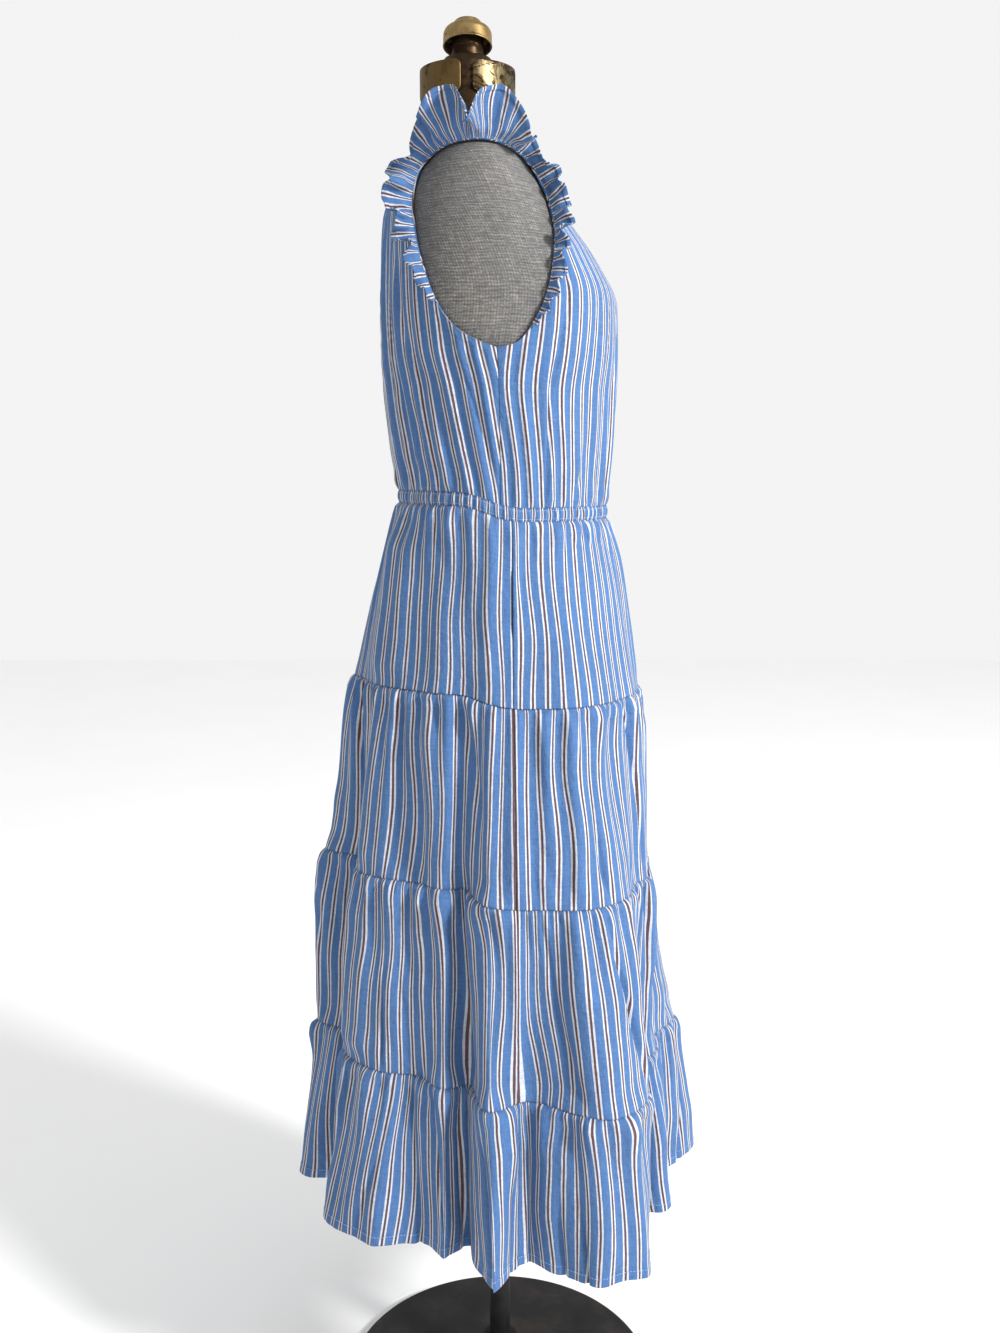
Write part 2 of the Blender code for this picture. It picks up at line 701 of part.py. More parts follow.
def armhole_line():
    """Fine line round the armhole from its front low point over the shoulder to its back."""
    front = armhole_side(ARMHOLE_FRONT)
    back = armhole_side(ARMHOLE_BACK)
    line = [body_point(t, h) + body_normal(t, h) * RUFFLE_STAND_OFF for t, h in front]
    line += [body_point(t, h) + body_normal(t, h) * RUFFLE_STAND_OFF for t, h in back[-2::-1]]
    line = np.array(line)
    across = -line[:, 1] - ARMHOLE_CENTRE_FORWARD
    above = line[:, 2] - WAIST_Z - ARMHOLE_CENTRE_HIGH
    around = np.degrees(np.unwrap(np.arctan2(across, above)))
    keep = (around <= RUFFLE[0].angle) & (around >= RUFFLE[-1].angle)
    return line[keep], around[keep]


def ruffle_rows():
    """Grid of points of the right armhole ruffle, from the seam outwards."""
    line, around = armhole_line()
    base = walk(np.column_stack([line, around]), RUFFLE_COLUMNS + 1)
    around = base[:, 3]
    base = smoothed(base[:, :3], 3)
    angles = [row.angle for row in reversed(RUFFLE)]
    width = pchip(angles, [row.width for row in reversed(RUFFLE)], around)
    lean = pchip(angles, [row.lean for row in reversed(RUFFLE)], around)
    along = np.gradient(base, axis=0)
    along /= np.linalg.norm(along, axis=1)[:, None]
    out = np.array([-1.0, 0.0, 0.0]) - along * along[:, :1] * -1.0
    out /= np.linalg.norm(out, axis=1)[:, None]
    away = np.cross(along, out)
    away /= np.linalg.norm(away, axis=1)[:, None]
    centre = np.array([0.0, -ARMHOLE_CENTRE_FORWARD, WAIST_Z + ARMHOLE_CENTRE_HIGH])
    if ((base - centre) * away).sum() < 0:
        away = -away
    rows = [base]
    for i in range(RUFFLE_ROWS):
        share = (i + 0.5) / RUFFLE_ROWS
        turned = np.radians(RUFFLE_BASE_LEAN + (lean - RUFFLE_BASE_LEAN) * share**0.6)
        step = away * np.cos(turned)[:, None] + out * np.sin(turned)[:, None]
        rows.append(rows[-1] + step * (width / RUFFLE_ROWS)[:, None])
    return rows


def smoothed(line, times):
    line = line.copy()
    for _ in range(times):
        line[1:-1] = 0.25 * line[:-2] + 0.5 * line[1:-1] + 0.25 * line[2:]
    return line


def grid_normals(points, faces):
    normals = np.zeros_like(points)
    for f in faces:
        one = points[f[2]] - points[f[0]]
        two = points[f[3]] - points[f[1]]
        face_normal = np.cross(one, two)
        for k in f:
            normals[k] += face_normal
    return normals / np.linalg.norm(normals, axis=1)[:, None]


def ruffle(name, side):
    rows = ruffle_rows()
    points = np.vstack(rows)
    faces = grid_faces(len(rows), len(rows[0]))
    inward = grid_normals(points, faces)
    points = points - inward * CLOTH_WALL / 2
    points[:, 0] *= side
    inward[:, 0] *= side
    return cloth(name, points, faces, CLOTH_WALL, inward)


def pocket(name, at_right):
    """Flat bag behind the front panel of the first tier, made from the points of that panel."""
    outer, inward = PANELS["tier_1_front"]
    first = 1 if not at_right else outer.shape[1] - 2 - POCKET_COLUMNS
    kept = slice(first, first + POCKET_COLUMNS + 1)
    downs = [row.down for row in TIER_ROWS]
    points = []
    towards = []
    for down in POCKET_ROWS:
        below = int(np.searchsorted(downs, down))
        above = below - 1
        share = (down - downs[above]) / (downs[below] - downs[above])
        line = outer[above] + (outer[below] - outer[above]) * share
        turn = inward[above] + (inward[below] - inward[above]) * share
        points.extend(line[kept] + turn[kept] * (TIER_WALL + POCKET_GAP))
        towards.extend(turn[kept])
    faces = grid_faces(len(POCKET_ROWS), POCKET_COLUMNS + 1)
    return cloth(name, points, faces, POCKET_WALL, towards)


def ring_solid(name, rings):
    """Closed solid through rings of equal count, with a fan at each end."""
    wide = len(rings[0])
    points = np.vstack(rings + [rings[0].mean(axis=0)[None], rings[-1].mean(axis=0)[None]])
    low = len(rings) * wide
    top = low + 1
    faces = []
    for i in range(len(rings) - 1):
        for j in range(wide):
            k = (j + 1) % wide
            faces.append([i * wide + j, i * wide + k, (i + 1) * wide + k, (i + 1) * wide + j])
    for j in range(wide):
        k = (j + 1) % wide
        faces.append([low, k, j])
        faces.append([top, (len(rings) - 1) * wide + j, (len(rings) - 1) * wide + k])
    return add_mesh(name, points, faces)


def form_ring(high, shrink):
    """Ring of the form, set in from the cloth by the table of insets."""
    inset = float(pchip([row.high for row in FORM_INSETS], [row.depth for row in FORM_INSETS], high))
    ring = []
    for j in range(FORM_COLUMNS):
        theta = 2 * pi * j / FORM_COLUMNS
        ring.append(body_point(theta, high) - body_normal(theta, high) * inset)
    ring = np.array(ring)
    middle = ring.mean(axis=0)
    return middle + (ring - middle) * np.array([shrink, shrink, 1.0])


def form_torso():
    rings = [form_ring(FORM_BOTTOM, FORM_BOTTOM_SHRINK)]
    rings += [form_ring(high, 1.0) for high in FORM_HIGHS]
    return ring_solid("form_torso", rings)


def neck_plate(name, middle_angle):
    """Curved brass plate of the neck, its lower end outside the top of the torso."""
    inner = NECK_RADIUS + 2 * SEAM_GAP
    outer = inner + PLATE_WALL
    angles = np.linspace(middle_angle - PLATE_ARC / 2, middle_angle + PLATE_ARC / 2, PLATE_STEPS + 1)
    loops = []
    for high, radius in ((PLATE_LOW, inner), (PLATE_LOW, outer), (PLATE_HIGH, outer), (PLATE_HIGH, inner)):
        loops.append([neck_point(radius, a, high) for a in angles])
    points = np.array(loops).reshape(-1, 3)
    wide = len(angles)
    faces = []
    for i in range(4):
        for j in range(wide - 1):
            a = i * wide + j
            b = (i + 1) % 4 * wide + j
            faces.append([a, a + 1, b + 1, b])
    faces.append([0, wide, 2 * wide, 3 * wide])
    faces.append([wide - 1, 4 * wide - 1, 3 * wide - 1, 2 * wide - 1])
    return add_mesh(name, points, faces)


def neck_point(radius, angle, high):
    spot = plan_point(radius, angle, high)
    spot[1] -= NECK_FORWARD
    return spot


def lathe(name, profile, forward, low):
    """Turned solid about an upright axis."""
    rings = []
    turns = 2 * pi * np.arange(STAND_STEPS) / STAND_STEPS
    for row in profile:
        x = row.radius * np.cos(turns)
        y = row.radius * np.sin(turns) - forward
        rings.append(np.stack([x, y, np.full(STAND_STEPS, low + row.high)], axis=1))
    return ring_solid(name, rings)


def material(name, colour, rough, metal):
    made = bpy.data.materials.new(name)
    made.use_nodes = True
    shader = made.node_tree.nodes["Principled BSDF"]
    shader.inputs["Base Color"].default_value = (*colour, 1.0)
    shader.inputs["Roughness"].default_value = rough
    shader.inputs["Metallic"].default_value = metal
    return made


for old in list(bpy.data.objects):
    bpy.data.objects.remove(old)
DRESS = bpy.data.collections.new("tiered_ruffle_midi_dress")
bpy.context.scene.collection.children.link(DRESS)

STRIPE = material("striped_cotton", (0.30, 0.44, 0.72), 0.85, 0.0)
LINING = material("pocket_cotton", (0.30, 0.42, 0.68), 0.85, 0.0)
JERSEY = material("form_jersey", (0.42, 0.42, 0.43), 0.9, 0.0)
BRASS = material("aged_brass", (0.62, 0.45, 0.20), 0.4, 1.0)
IRON = material("stand_iron", (0.05, 0.05, 0.055), 0.5, 0.6)

cloth_nodes = [
    bodice_panel("bodice_front", False),
    bodice_panel("bodice_back", True),
    waistband(),
    ruffle("ruffle_right", 1),
    ruffle("ruffle_left", -1),
]
for number, tier in enumerate(TIERS):
    side = SIDE_SEAM_ANGLE
    cloth_nodes.append(tier_panel(tier.name + "_front", number, -side, side, FRONT_COLUMNS))
    cloth_nodes.append(tier_panel(tier.name + "_back", number, side, 360 - side, BACK_COLUMNS))
pockets = [pocket("pocket_right", True), pocket("pocket_left", False)]
torso = form_torso()
plates = [neck_plate(f"neck_plate_{k + 1}", 45 + 90 * k) for k in range(4)]
core = lathe("neck_core", NECK_CORE, NECK_FORWARD, WAIST_Z)
cap = lathe("neck_cap", NECK_CAP, 0.0, 0.0)
cap.location = (0.0, -NECK_FORWARD, WAIST_Z + NECK_CAP_HIGH)
cap.rotation_euler = (0.0, radians(NECK_CAP_TILT), 0.0)
pole = lathe("stand_pole", [Turn(POLE_RADIUS, 0.0), Turn(POLE_RADIUS, POLE_LENGTH)], 0.0, HUB_TOP + SEAM_GAP)
hub = lathe("stand_hub", STAND_HUB, 0.0, 0.0)
foot = lathe("stand_foot", STAND_FOOT, 0.0, 0.0)

for node in cloth_nodes:
    node.data.materials.append(STRIPE)
for node in pockets:
    node.data.materials.append(LINING)
torso.data.materials.append(JERSEY)
for node in plates + [core, cap]:
    node.data.materials.append(BRASS)
for node in (pole, hub, foot):
    node.data.materials.append(IRON)
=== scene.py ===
"""Looks of the tiered ruffle midi dress on its limbless dress form.

Metres, +Z up. The front of the dress faces -Y and the wearer's right side faces -X.
Heights in the tables are measured from the top of the waistband. In plan an angle of 0 is
the front, 90 the wearer's right side and 180 the back.
"""

from math import cos, degrees, pi, radians, sin

import bmesh
import bpy
import numpy as np
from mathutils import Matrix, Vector


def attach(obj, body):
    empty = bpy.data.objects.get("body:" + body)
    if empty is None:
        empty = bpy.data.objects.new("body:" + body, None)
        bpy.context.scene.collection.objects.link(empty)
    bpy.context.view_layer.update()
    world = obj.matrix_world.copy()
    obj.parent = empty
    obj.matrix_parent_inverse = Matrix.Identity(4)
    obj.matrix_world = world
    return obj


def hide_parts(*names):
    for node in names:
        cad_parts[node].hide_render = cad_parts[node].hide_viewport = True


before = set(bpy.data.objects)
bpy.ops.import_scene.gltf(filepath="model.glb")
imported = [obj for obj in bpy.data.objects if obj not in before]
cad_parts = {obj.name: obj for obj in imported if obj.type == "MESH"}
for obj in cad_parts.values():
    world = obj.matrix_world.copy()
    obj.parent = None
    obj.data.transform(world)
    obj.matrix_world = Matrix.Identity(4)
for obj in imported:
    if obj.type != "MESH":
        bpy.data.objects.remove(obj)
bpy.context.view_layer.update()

WAIST_Z = 1.100
BAND_HIGH = 0.014
SEAM_GAP = 0.0005
EDGE_TRIM = SEAM_GAP / 2
STRIPE_REPEAT = 0.0155

# Outside of the bodice: high, half width, front, back, widest point, power.
BODY = [
    (-0.200, 0.1360, 0.1120, -0.1180, 0.000, 2.0),
    (-0.120, 0.1370, 0.1170, -0.1240, 0.000, 2.0),
    (-0.050, 0.1365, 0.1170, -0.1150, 0.000, 2.0),
    (0.000, 0.1370, 0.1200, -0.1140, 0.000, 2.0),
    (0.050, 0.1410, 0.1250, -0.1200, 0.000, 2.0),
    (0.116, 0.1490, 0.1290, -0.1270, -0.001, 2.0),
    (0.161, 0.1560, 0.1310, -0.1290, -0.003, 2.1),
    (0.215, 0.1620, 0.1290, -0.1290, -0.007, 2.2),
    (0.260, 0.1660, 0.1080, -0.1280, -0.010, 2.2),
    (0.305, 0.1690, 0.0738, -0.1244, -0.014, 2.2),
    (0.335, 0.1700, 0.0560, -0.1140, -0.017, 2.1),
    (0.350, 0.1680, 0.0470, -0.1040, -0.018, 2.0),
    (0.358, 0.1630, 0.0430, -0.0980, -0.019, 2.0),
    (0.370, 0.1440, 0.0350, -0.0920, -0.022, 2.0),
    (0.385, 0.1130, 0.0280, -0.0870, -0.026, 2.0),
    (0.400, 0.0830, 0.0220, -0.0850, -0.030, 2.0),
    (0.411, 0.0650, 0.0190, -0.0860, -0.033, 2.0),
    (0.419, 0.0545, 0.0168, -0.0868, -0.035, 2.0),
    (0.424, 0.0516, 0.0163, -0.0866, -0.035, 2.0),
    (0.440, 0.0516, 0.0163, -0.0866, -0.035, 2.0),
]
FORM_INSETS = [
    (-0.200, 0.0010), (-0.050, 0.0030), (0.000, 0.0060), (0.116, 0.0060), (0.215, 0.0040),
    (0.305, 0.0042), (0.358, 0.0050), (0.400, 0.0038), (0.424, 0.0010), (0.440, 0.0010),
]
UNDERARM_HIGH = 0.161
SHOULDER_HIGH = 0.3595
NECK_POINT_HALF = 0.076
# Armhole from the side: high, forward, from the underarm to the shoulder tip.
ARMHOLE_FRONT = [
    (0.161, -0.003), (0.165, 0.0146), (0.184, 0.0332), (0.207, 0.0451), (0.236, 0.0524), (0.272, 0.0555),
    (0.306, 0.0500), (0.333, 0.0380), (0.351, 0.0200), (0.3575, 0.0000), (0.3595, -0.0210),
]
ARMHOLE_BACK = [
    (0.161, -0.003), (0.168, -0.0222), (0.182, -0.0457), (0.2075, -0.0647), (0.236, -0.0760), (0.268, -0.0845),
    (0.302, -0.0885), (0.3320, -0.0830), (0.3500, -0.0670), (0.3580, -0.0440), (0.3595, -0.0210),
]
# Neckline from the front: half width, high.
NECK_FRONT = [(0.000, 0.300), (0.024, 0.309), (0.044, 0.331), (0.058, 0.357), (0.068, 0.382)]
NECK_BACK = [(0.000, 0.386), (0.030, 0.388), (0.055, 0.394), (0.068, 0.399)]

SEAMS = [-BAND_HIGH, -0.208, -0.414, -0.621, -0.800]
WAIST_HALF_WIDTH = 0.137
WAIST_FRONT = 0.120
WAIST_BACK = 0.114
# The cloth hangs higher at the back: rise by height, and share of it by angle round the waist.
BACK_LIFTS = [
    (-0.800, 0.008), (-0.621, 0.006), (-0.414, 0.011), (-0.208, 0.014), (0.000, 0.017), (0.161, 0.000),
]
BACK_LIFT_SHARES = [(80, 0.00), (90, 0.22), (100, 0.64), (110, 0.92), (120, 1.00)]
# Ridges and valleys of the skirt: angle and radius at the three seams and at the hem.
FOLDS = [
    (-3, 0.160, -3, 0.173, -4, 0.213, -10, 0.245),
    (14, 0.158, 14, 0.168, 14, 0.186, 13, 0.190),
    (26, 0.163, 27, 0.186, 27, 0.198, 31, 0.220),
    (33, 0.161, 35, 0.183, 38, 0.184, 42, 0.174),
    (48, 0.166, 50, 0.207, 52, 0.255, 55, 0.282),
    (61, 0.167, 63, 0.213, 63, 0.271, 66, 0.283),
    (78, 0.158, 80, 0.196, 82, 0.205, 82, 0.206),
    (93, 0.158, 94, 0.197, 94, 0.234, 92, 0.278),
    (105, 0.147, 104, 0.154, 100, 0.173, 99, 0.184),
    (116, 0.154, 112, 0.170, 108, 0.198, 104.5, 0.238),
    (126, 0.150, 123, 0.162, 119, 0.180, 112, 0.208),
    (138, 0.154, 136, 0.175, 134, 0.200, 126, 0.238),
    (151, 0.158, 150, 0.183, 150, 0.203, 142, 0.243),
    (164, 0.157, 165, 0.164, 164, 0.174, 156, 0.170),
    (178, 0.168, 179, 0.208, 178, 0.222, 170, 0.247),
    (194, 0.157, 193, 0.172, 191, 0.184, 188, 0.187),
    (210, 0.160, 210, 0.188, 209, 0.218, 207, 0.249),
    (226, 0.151, 226, 0.160, 227, 0.171, 227, 0.176),
    (241, 0.156, 242, 0.188, 243, 0.228, 244, 0.262),
    (255, 0.151, 256, 0.172, 257, 0.192, 257, 0.200),
    (269, 0.157, 270, 0.196, 271, 0.236, 271, 0.273),
    (282, 0.150, 282, 0.163, 282, 0.172, 281, 0.171),
    (298, 0.162, 298, 0.203, 297, 0.249, 296, 0.271),
    (314, 0.158, 313, 0.172, 313, 0.180, 313, 0.179),
    (330, 0.162, 329, 0.186, 329, 0.210, 328, 0.238),
    (344, 0.158, 343, 0.168, 342, 0.182, 340, 0.188),
]
# Tiers: gathers all round, stand out, puff, seed, small puckers all round, panel columns.
TIERS = [
    ("tier_1", 34, 0.0018, 0.0020, 3, 84, 300),
    ("tier_2", 36, 0.0032, 0.0035, 8, 96, 400),
    ("tier_3", 38, 0.0034, 0.0040, 15, 118, 470),
    ("tier_4", 40, 0.0034, 0.0040, 24, 140, 520),
]
# What each tier hangs from.
SIDE_SEAM_ANGLE = 85.0
PANELS = (("front", -SIDE_SEAM_ANGLE, SIDE_SEAM_ANGLE), ("back", SIDE_SEAM_ANGLE, 360 - SIDE_SEAM_ANGLE))
# Depths of the tiers' soft relief, in metres.
DRAPE_DEPTH = 0.0052
FOLD_DEPTH = 0.0060
CREASE_DEPTH = 0.0007
SLANT_DEPTH = 0.0014
# Rows tucked behind the tier above.
TUCKED_ROWS = 2
RING_SAMPLES = 1440
RING_BLUR_DEGREES = 1.5
HEM_TURN = 0.010

# Armhole ruffle: angle from the shoulder tip, positive to the front, width and lean.
RUFFLE = [
    (148, 0.004, 45), (130, 0.009, 38), (112, 0.012, 58), (96, 0.015, 30), (80, 0.018, 60),
    (65, 0.019, 28), (50, 0.021, 62), (37, 0.021, 32), (24, 0.018, 48), (13, 0.033, 26), (4, 0.049, 14),
    (-1, 0.049, 22), (-6, 0.046, 100), (-11, 0.051, 18), (-17, 0.052, 12), (-25, 0.034, 34), (-35, 0.022, 64),
    (-45, 0.027, 24), (-55, 0.031, 58),
    (-66, 0.028, 24), (-77, 0.024, 46), (-90, 0.018, 56), (-102, 0.015, 30), (-114, 0.012, 56),
    (-126, 0.009, 36), (-137, 0.004, 45),
]
RUFFLE_BASE_LEAN = 45.0
RUFFLE_COLUMNS = 560
RUFFLE_ROWS = 22
RUFFLE_STAND_OFF = 0.0018
PLEAT_DEPTH = 0.0074
ARMHOLE_CENTRE_HIGH = 0.260
ARMHOLE_CENTRE_FORWARD = -0.016

FORM_BOTTOM = -0.200
NECK_FORWARD = -0.035
NECK_RADIUS = 0.0490
PLATE_LOW = 0.4314
PLATE_HIGH = 0.4640
PLATE_ARC = 76.0
PLATE_WALL = 0.0020


def pchip(xs, ys, x):
    """Smooth curve through the table with no overshoot."""
    xs = np.asarray(xs, float)
    ys = np.asarray(ys, float)
    step = np.diff(xs)
    slope = np.diff(ys) / step
    tangent = np.zeros(len(xs))
    first = 2 * step[1:] + step[:-1]
    second = step[1:] + 2 * step[:-1]
    same = slope[:-1] * slope[1:] > 0
    one = np.where(same, slope[:-1], 1.0)
    two = np.where(same, slope[1:], 1.0)
    tangent[1:-1] = np.where(same, (first + second) / (first / one + second / two), 0.0)
    tangent[0] = slope[0]
    tangent[-1] = slope[-1]
    x = np.clip(np.asarray(x, float), xs[0], xs[-1])
    i = np.clip(np.searchsorted(xs, x) - 1, 0, len(xs) - 2)
    t = (x - xs[i]) / step[i]
    return (
        (2 * t**3 - 3 * t**2 + 1) * ys[i]
        + (t**3 - 2 * t**2 + t) * step[i] * tangent[i]
        + (3 * t**2 - 2 * t**3) * ys[i + 1]
        + (t**3 - t**2) * step[i] * tangent[i + 1]
    )


def smooth(low, high, x):
    """0 below low, 1 above high, and an even rise between."""
    t = np.clip((np.asarray(x, float) - low) / (high - low), 0, 1)
    return t * t * (3 - 2 * t)


def soft_noise(x, y, seed):
    """Smooth noise, about -1 to 1, at places given in cells."""
    table = np.random.default_rng(seed).uniform(-1, 1, (64, 64))
    i = np.floor(x).astype(int)
    j = np.floor(y).astype(int)
    f = x - i
    g = y - j

    def weights(t):
        return ((1 - t) ** 3 / 6, (3 * t**3 - 6 * t**2 + 4) / 6,
                (-3 * t**3 + 3 * t**2 + 3 * t + 1) / 6, t**3 / 6)

    total = 0.0
    for a, wa in enumerate(weights(f)):
        for b, wb in enumerate(weights(g)):
            total = total + wa * wb * table[(i + a) % 64, (j + b) % 64]
    return 2.2 * total


# ---- mesh helpers


def join_grids(parts):
    """One point list and one quad list from several grids of (points, uv, edge)."""
    points, uvs, edges, quads = [], [], [], []
    count = 0
    for grid, uv, edge in parts:
        rows, wide = grid.shape[:2]
        index = count + np.arange(rows * wide).reshape(rows, wide)
        quad = np.stack([index[:-1, :-1], index[:-1, 1:], index[1:, 1:], index[1:, :-1]], axis=-1)
        quads.append(quad.reshape(-1, 4))
        points.append(grid.reshape(-1, 3))
        uvs.append(uv.reshape(-1, 2))
        edges.append(edge.reshape(-1, 2))
        count += rows * wide
    return np.vstack(points), np.vstack(quads), np.vstack(uvs), np.vstack(edges)


def make_mesh(name, points, faces, uv, edge, finish):
    """Smooth mesh object from arrays, with cloth and edge coordinates in metres where given; the edge coordinates
    place the painted shade along seams and edges.
    """
    faces = np.asarray(faces)
    sides = faces.shape[1]
    mesh = bpy.data.meshes.new(name)
    mesh.vertices.add(len(points))
    mesh.vertices.foreach_set("co", np.ascontiguousarray(points, np.float32).ravel())
    mesh.loops.add(faces.size)
    mesh.loops.foreach_set("vertex_index", faces.ravel().astype(np.int32))
    mesh.polygons.add(len(faces))
    mesh.polygons.foreach_set("loop_start", np.arange(0, faces.size, sides, dtype=np.int32))
    mesh.polygons.foreach_set("use_smooth", np.ones(len(faces), bool))
    mesh.update(calc_edges=True)
    for label, layer in (("cloth", uv), ("edge", edge)):
        if layer is not None:
            made = mesh.uv_layers.new(name=label)
            made.data.foreach_set("uv", layer[faces.ravel()].astype(np.float32).ravel())
    piece = bpy.data.objects.new(name, mesh)
    bpy.context.scene.collection.objects.link(piece)
    mesh.materials.append(finish)
    return piece


def sharpened(work, piece, limit):
    """Writes the work mesh back with faces turned outward and edges over the limit, in degrees, sharp."""
    bmesh.ops.recalc_face_normals(work, faces=work.faces)
    for e in work.edges:
        if len(e.link_faces) == 2 and e.calc_face_angle() > radians(limit):
            e.smooth = False
    work.to_mesh(piece.data)
    work.free()
    return piece


def mesh_area(points, quads):
    one = points[quads[:, 2]] - points[quads[:, 0]]
    two = points[quads[:, 3]] - points[quads[:, 1]]
    return float(np.linalg.norm(np.cross(one, two), axis=1).sum() / 2)


def placed(piece, slot_name, *nodes):
    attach(piece, "root")
    if nodes:
        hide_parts(*nodes)
    return piece


def grid_normals(grid):
    along = np.gradient(grid, axis=1)
    down = np.gradient(grid, axis=0)
    normal = np.cross(along, down)
    return normal / np.maximum(np.linalg.norm(normal, axis=-1, keepdims=True), 1e-12)


def arc(line):
    return np.concatenate([[0], np.cumsum(np.linalg.norm(np.diff(line, axis=0), axis=1))])


def nearest(points, line, share=400):
    """Distance of each point to a line of points."""
    line = resampled(line, share)
    flat = points.reshape(-1, 3)
    best = np.full(len(flat), 9.0)
    for spot in line:
        best = np.minimum(best, ((flat - spot) ** 2).sum(axis=1))
    return np.sqrt(best).reshape(points.shape[:-1])


def resampled(rows, count, length=None):
    """Rows spaced evenly by the running length given, or else by their own."""
    rows = np.asarray(rows, float)
    length = arc(rows) if length is None else length
    at = np.linspace(0, length[-1], count)
    return np.stack([np.interp(at, length, rows[:, k]) for k in range(rows.shape[1])], axis=1)


# ---- body surface

HIGHS = np.linspace(BODY[0][0], BODY[-1][0], 1281)
BODY_COLUMNS = np.array(BODY)
DENSE = [pchip(BODY_COLUMNS[:, 0], BODY_COLUMNS[:, k], HIGHS) for k in range(1, 6)]


def section(high):
    return [np.interp(high, HIGHS, column) for column in DENSE]


def body(theta, high):
    half, front, back, middle, power = section(high)
    c = np.cos(theta)
    s = np.sin(theta)
    depth = np.where(c >= 0, front - middle, middle - back)
    across = half * np.sign(s) * np.abs(s) ** (2 / power)
    forward = middle + depth * np.sign(c) * np.abs(c) ** (2 / power)
    return np.stack([-across, -forward, WAIST_Z + high + 0 * theta], axis=-1)


def body_normal(theta, high):
    low = np.maximum(high - 0.0015, BODY[0][0])
    top = np.minimum(high + 0.0015, BODY[-1][0])
    around = body(theta + 0.02, high) - body(theta - 0.02, high)
    up = body(theta, top) - body(theta, low)
    normal = np.cross(up, around)
    return normal / np.linalg.norm(normal, axis=-1, keepdims=True)


def theta_of_forward(forward, high):
    half, front, back, middle, power = section(high)
    depth = np.where(forward >= middle, front - middle, middle - back)
    turned = np.minimum(np.abs(forward - middle) / depth, 1.0) ** (power / 2)
    return np.where(forward >= middle, np.arccos(turned), pi - np.arccos(turned))


def theta_of_half(half, high, at_back):
    width, _, _, _, power = section(high)
    turned = np.arcsin(np.minimum(half / width, 1.0) ** (power / 2))
    return pi - turned if at_back else turned


def metric_walk(line, count):
    """The line of (theta, high) spaced evenly by its length on the body."""
    line = np.asarray(line, float)
    return resampled(line, count, arc(body(line[:, 0], line[:, 1])))


def armhole_side(table):
    along = np.linspace(0, 1, 121)
    knots = np.linspace(0, 1, len(table))
    highs = pchip(knots, [row[0] for row in table], along)
    forwards = pchip(knots, [row[1] for row in table], along)
    line = np.stack([theta_of_forward(forwards, highs), highs], axis=1)
    line[0] = (pi / 2, UNDERARM_HIGH)
    line[-1] = (pi / 2, SHOULDER_HIGH)
    return line


def neck_side(table, at_back):
    highs = np.linspace(SHOULDER_HIGH, BODY[-1][0], 400)
    top = float(np.interp(-NECK_POINT_HALF, -section(highs)[0], highs))
    along = np.linspace(0, 1, 81)
    rows = table + [(NECK_POINT_HALF, top)]
    knots = np.linspace(0, 1, len(rows))
    halves = pchip(knots, [row[0] for row in rows], along)
    highs = pchip(knots, [row[1] for row in rows], along)
    line = np.stack([theta_of_half(halves, highs, at_back), highs], axis=1)
    line[-1] = (pi / 2, top)
    return line


# Length round the body from the front, by height, for the stripes.
ARC_HIGHS = np.linspace(0.0, 0.440, 221)
ARC_THETAS = np.linspace(0.0, pi, 361)
ARC_TABLE = np.array([arc(body(ARC_THETAS, np.full(361, h))) for h in ARC_HIGHS])


def round_body(theta, high):
    """Length round the body from the centre front at a height."""
    y = np.clip(high / ARC_HIGHS[-1], 0, 1) * (len(ARC_HIGHS) - 1)
    x = np.clip(theta / pi, 0, 1) * (len(ARC_THETAS) - 1)
    i = np.clip(np.floor(y).astype(int), 0, len(ARC_HIGHS) - 2)
    j = np.clip(np.floor(x).astype(int), 0, len(ARC_THETAS) - 2)
    f = y - i
    g = x - j
    low = ARC_TABLE[i, j] * (1 - g) + ARC_TABLE[i, j + 1] * g
    top = ARC_TABLE[i + 1, j] * (1 - g) + ARC_TABLE[i + 1, j + 1] * g
    return low * (1 - f) + top * f


def back_lift(points, high):
    """How much higher points of the cloth hang than their place in the tables."""
    depth = np.where(points[..., 1] <= 0, WAIST_FRONT, WAIST_BACK)
    angle = np.degrees(np.arctan2(np.abs(points[..., 0]) / WAIST_HALF_WIDTH, -points[..., 1] / depth))
    share = pchip([row[0] for row in BACK_LIFT_SHARES], [row[1] for row in BACK_LIFT_SHARES], angle)
    return share * pchip([row[0] for row in BACK_LIFTS], [row[1] for row in BACK_LIFTS], high)


# ---- bodice


def uneven_wave(at, count, total, seed, low=0.55):
    """Ridges of uneven width and strength along a length: 0 in the valleys, up to 1."""
    rng = np.random.default_rng(seed)
    widths = rng.uniform(0.6, 1.4, count)
    edges = np.concatenate([[0], np.cumsum(widths)]) * total / widths.sum()
    phase = np.interp(at, edges, np.arange(count + 1))
    cell = np.minimum(phase.astype(int), count - 1)
    strength = rng.uniform(low, 1.0, count)[cell]
    return (0.5 - 0.5 * np.cos(2 * pi * phase)) * strength, cell


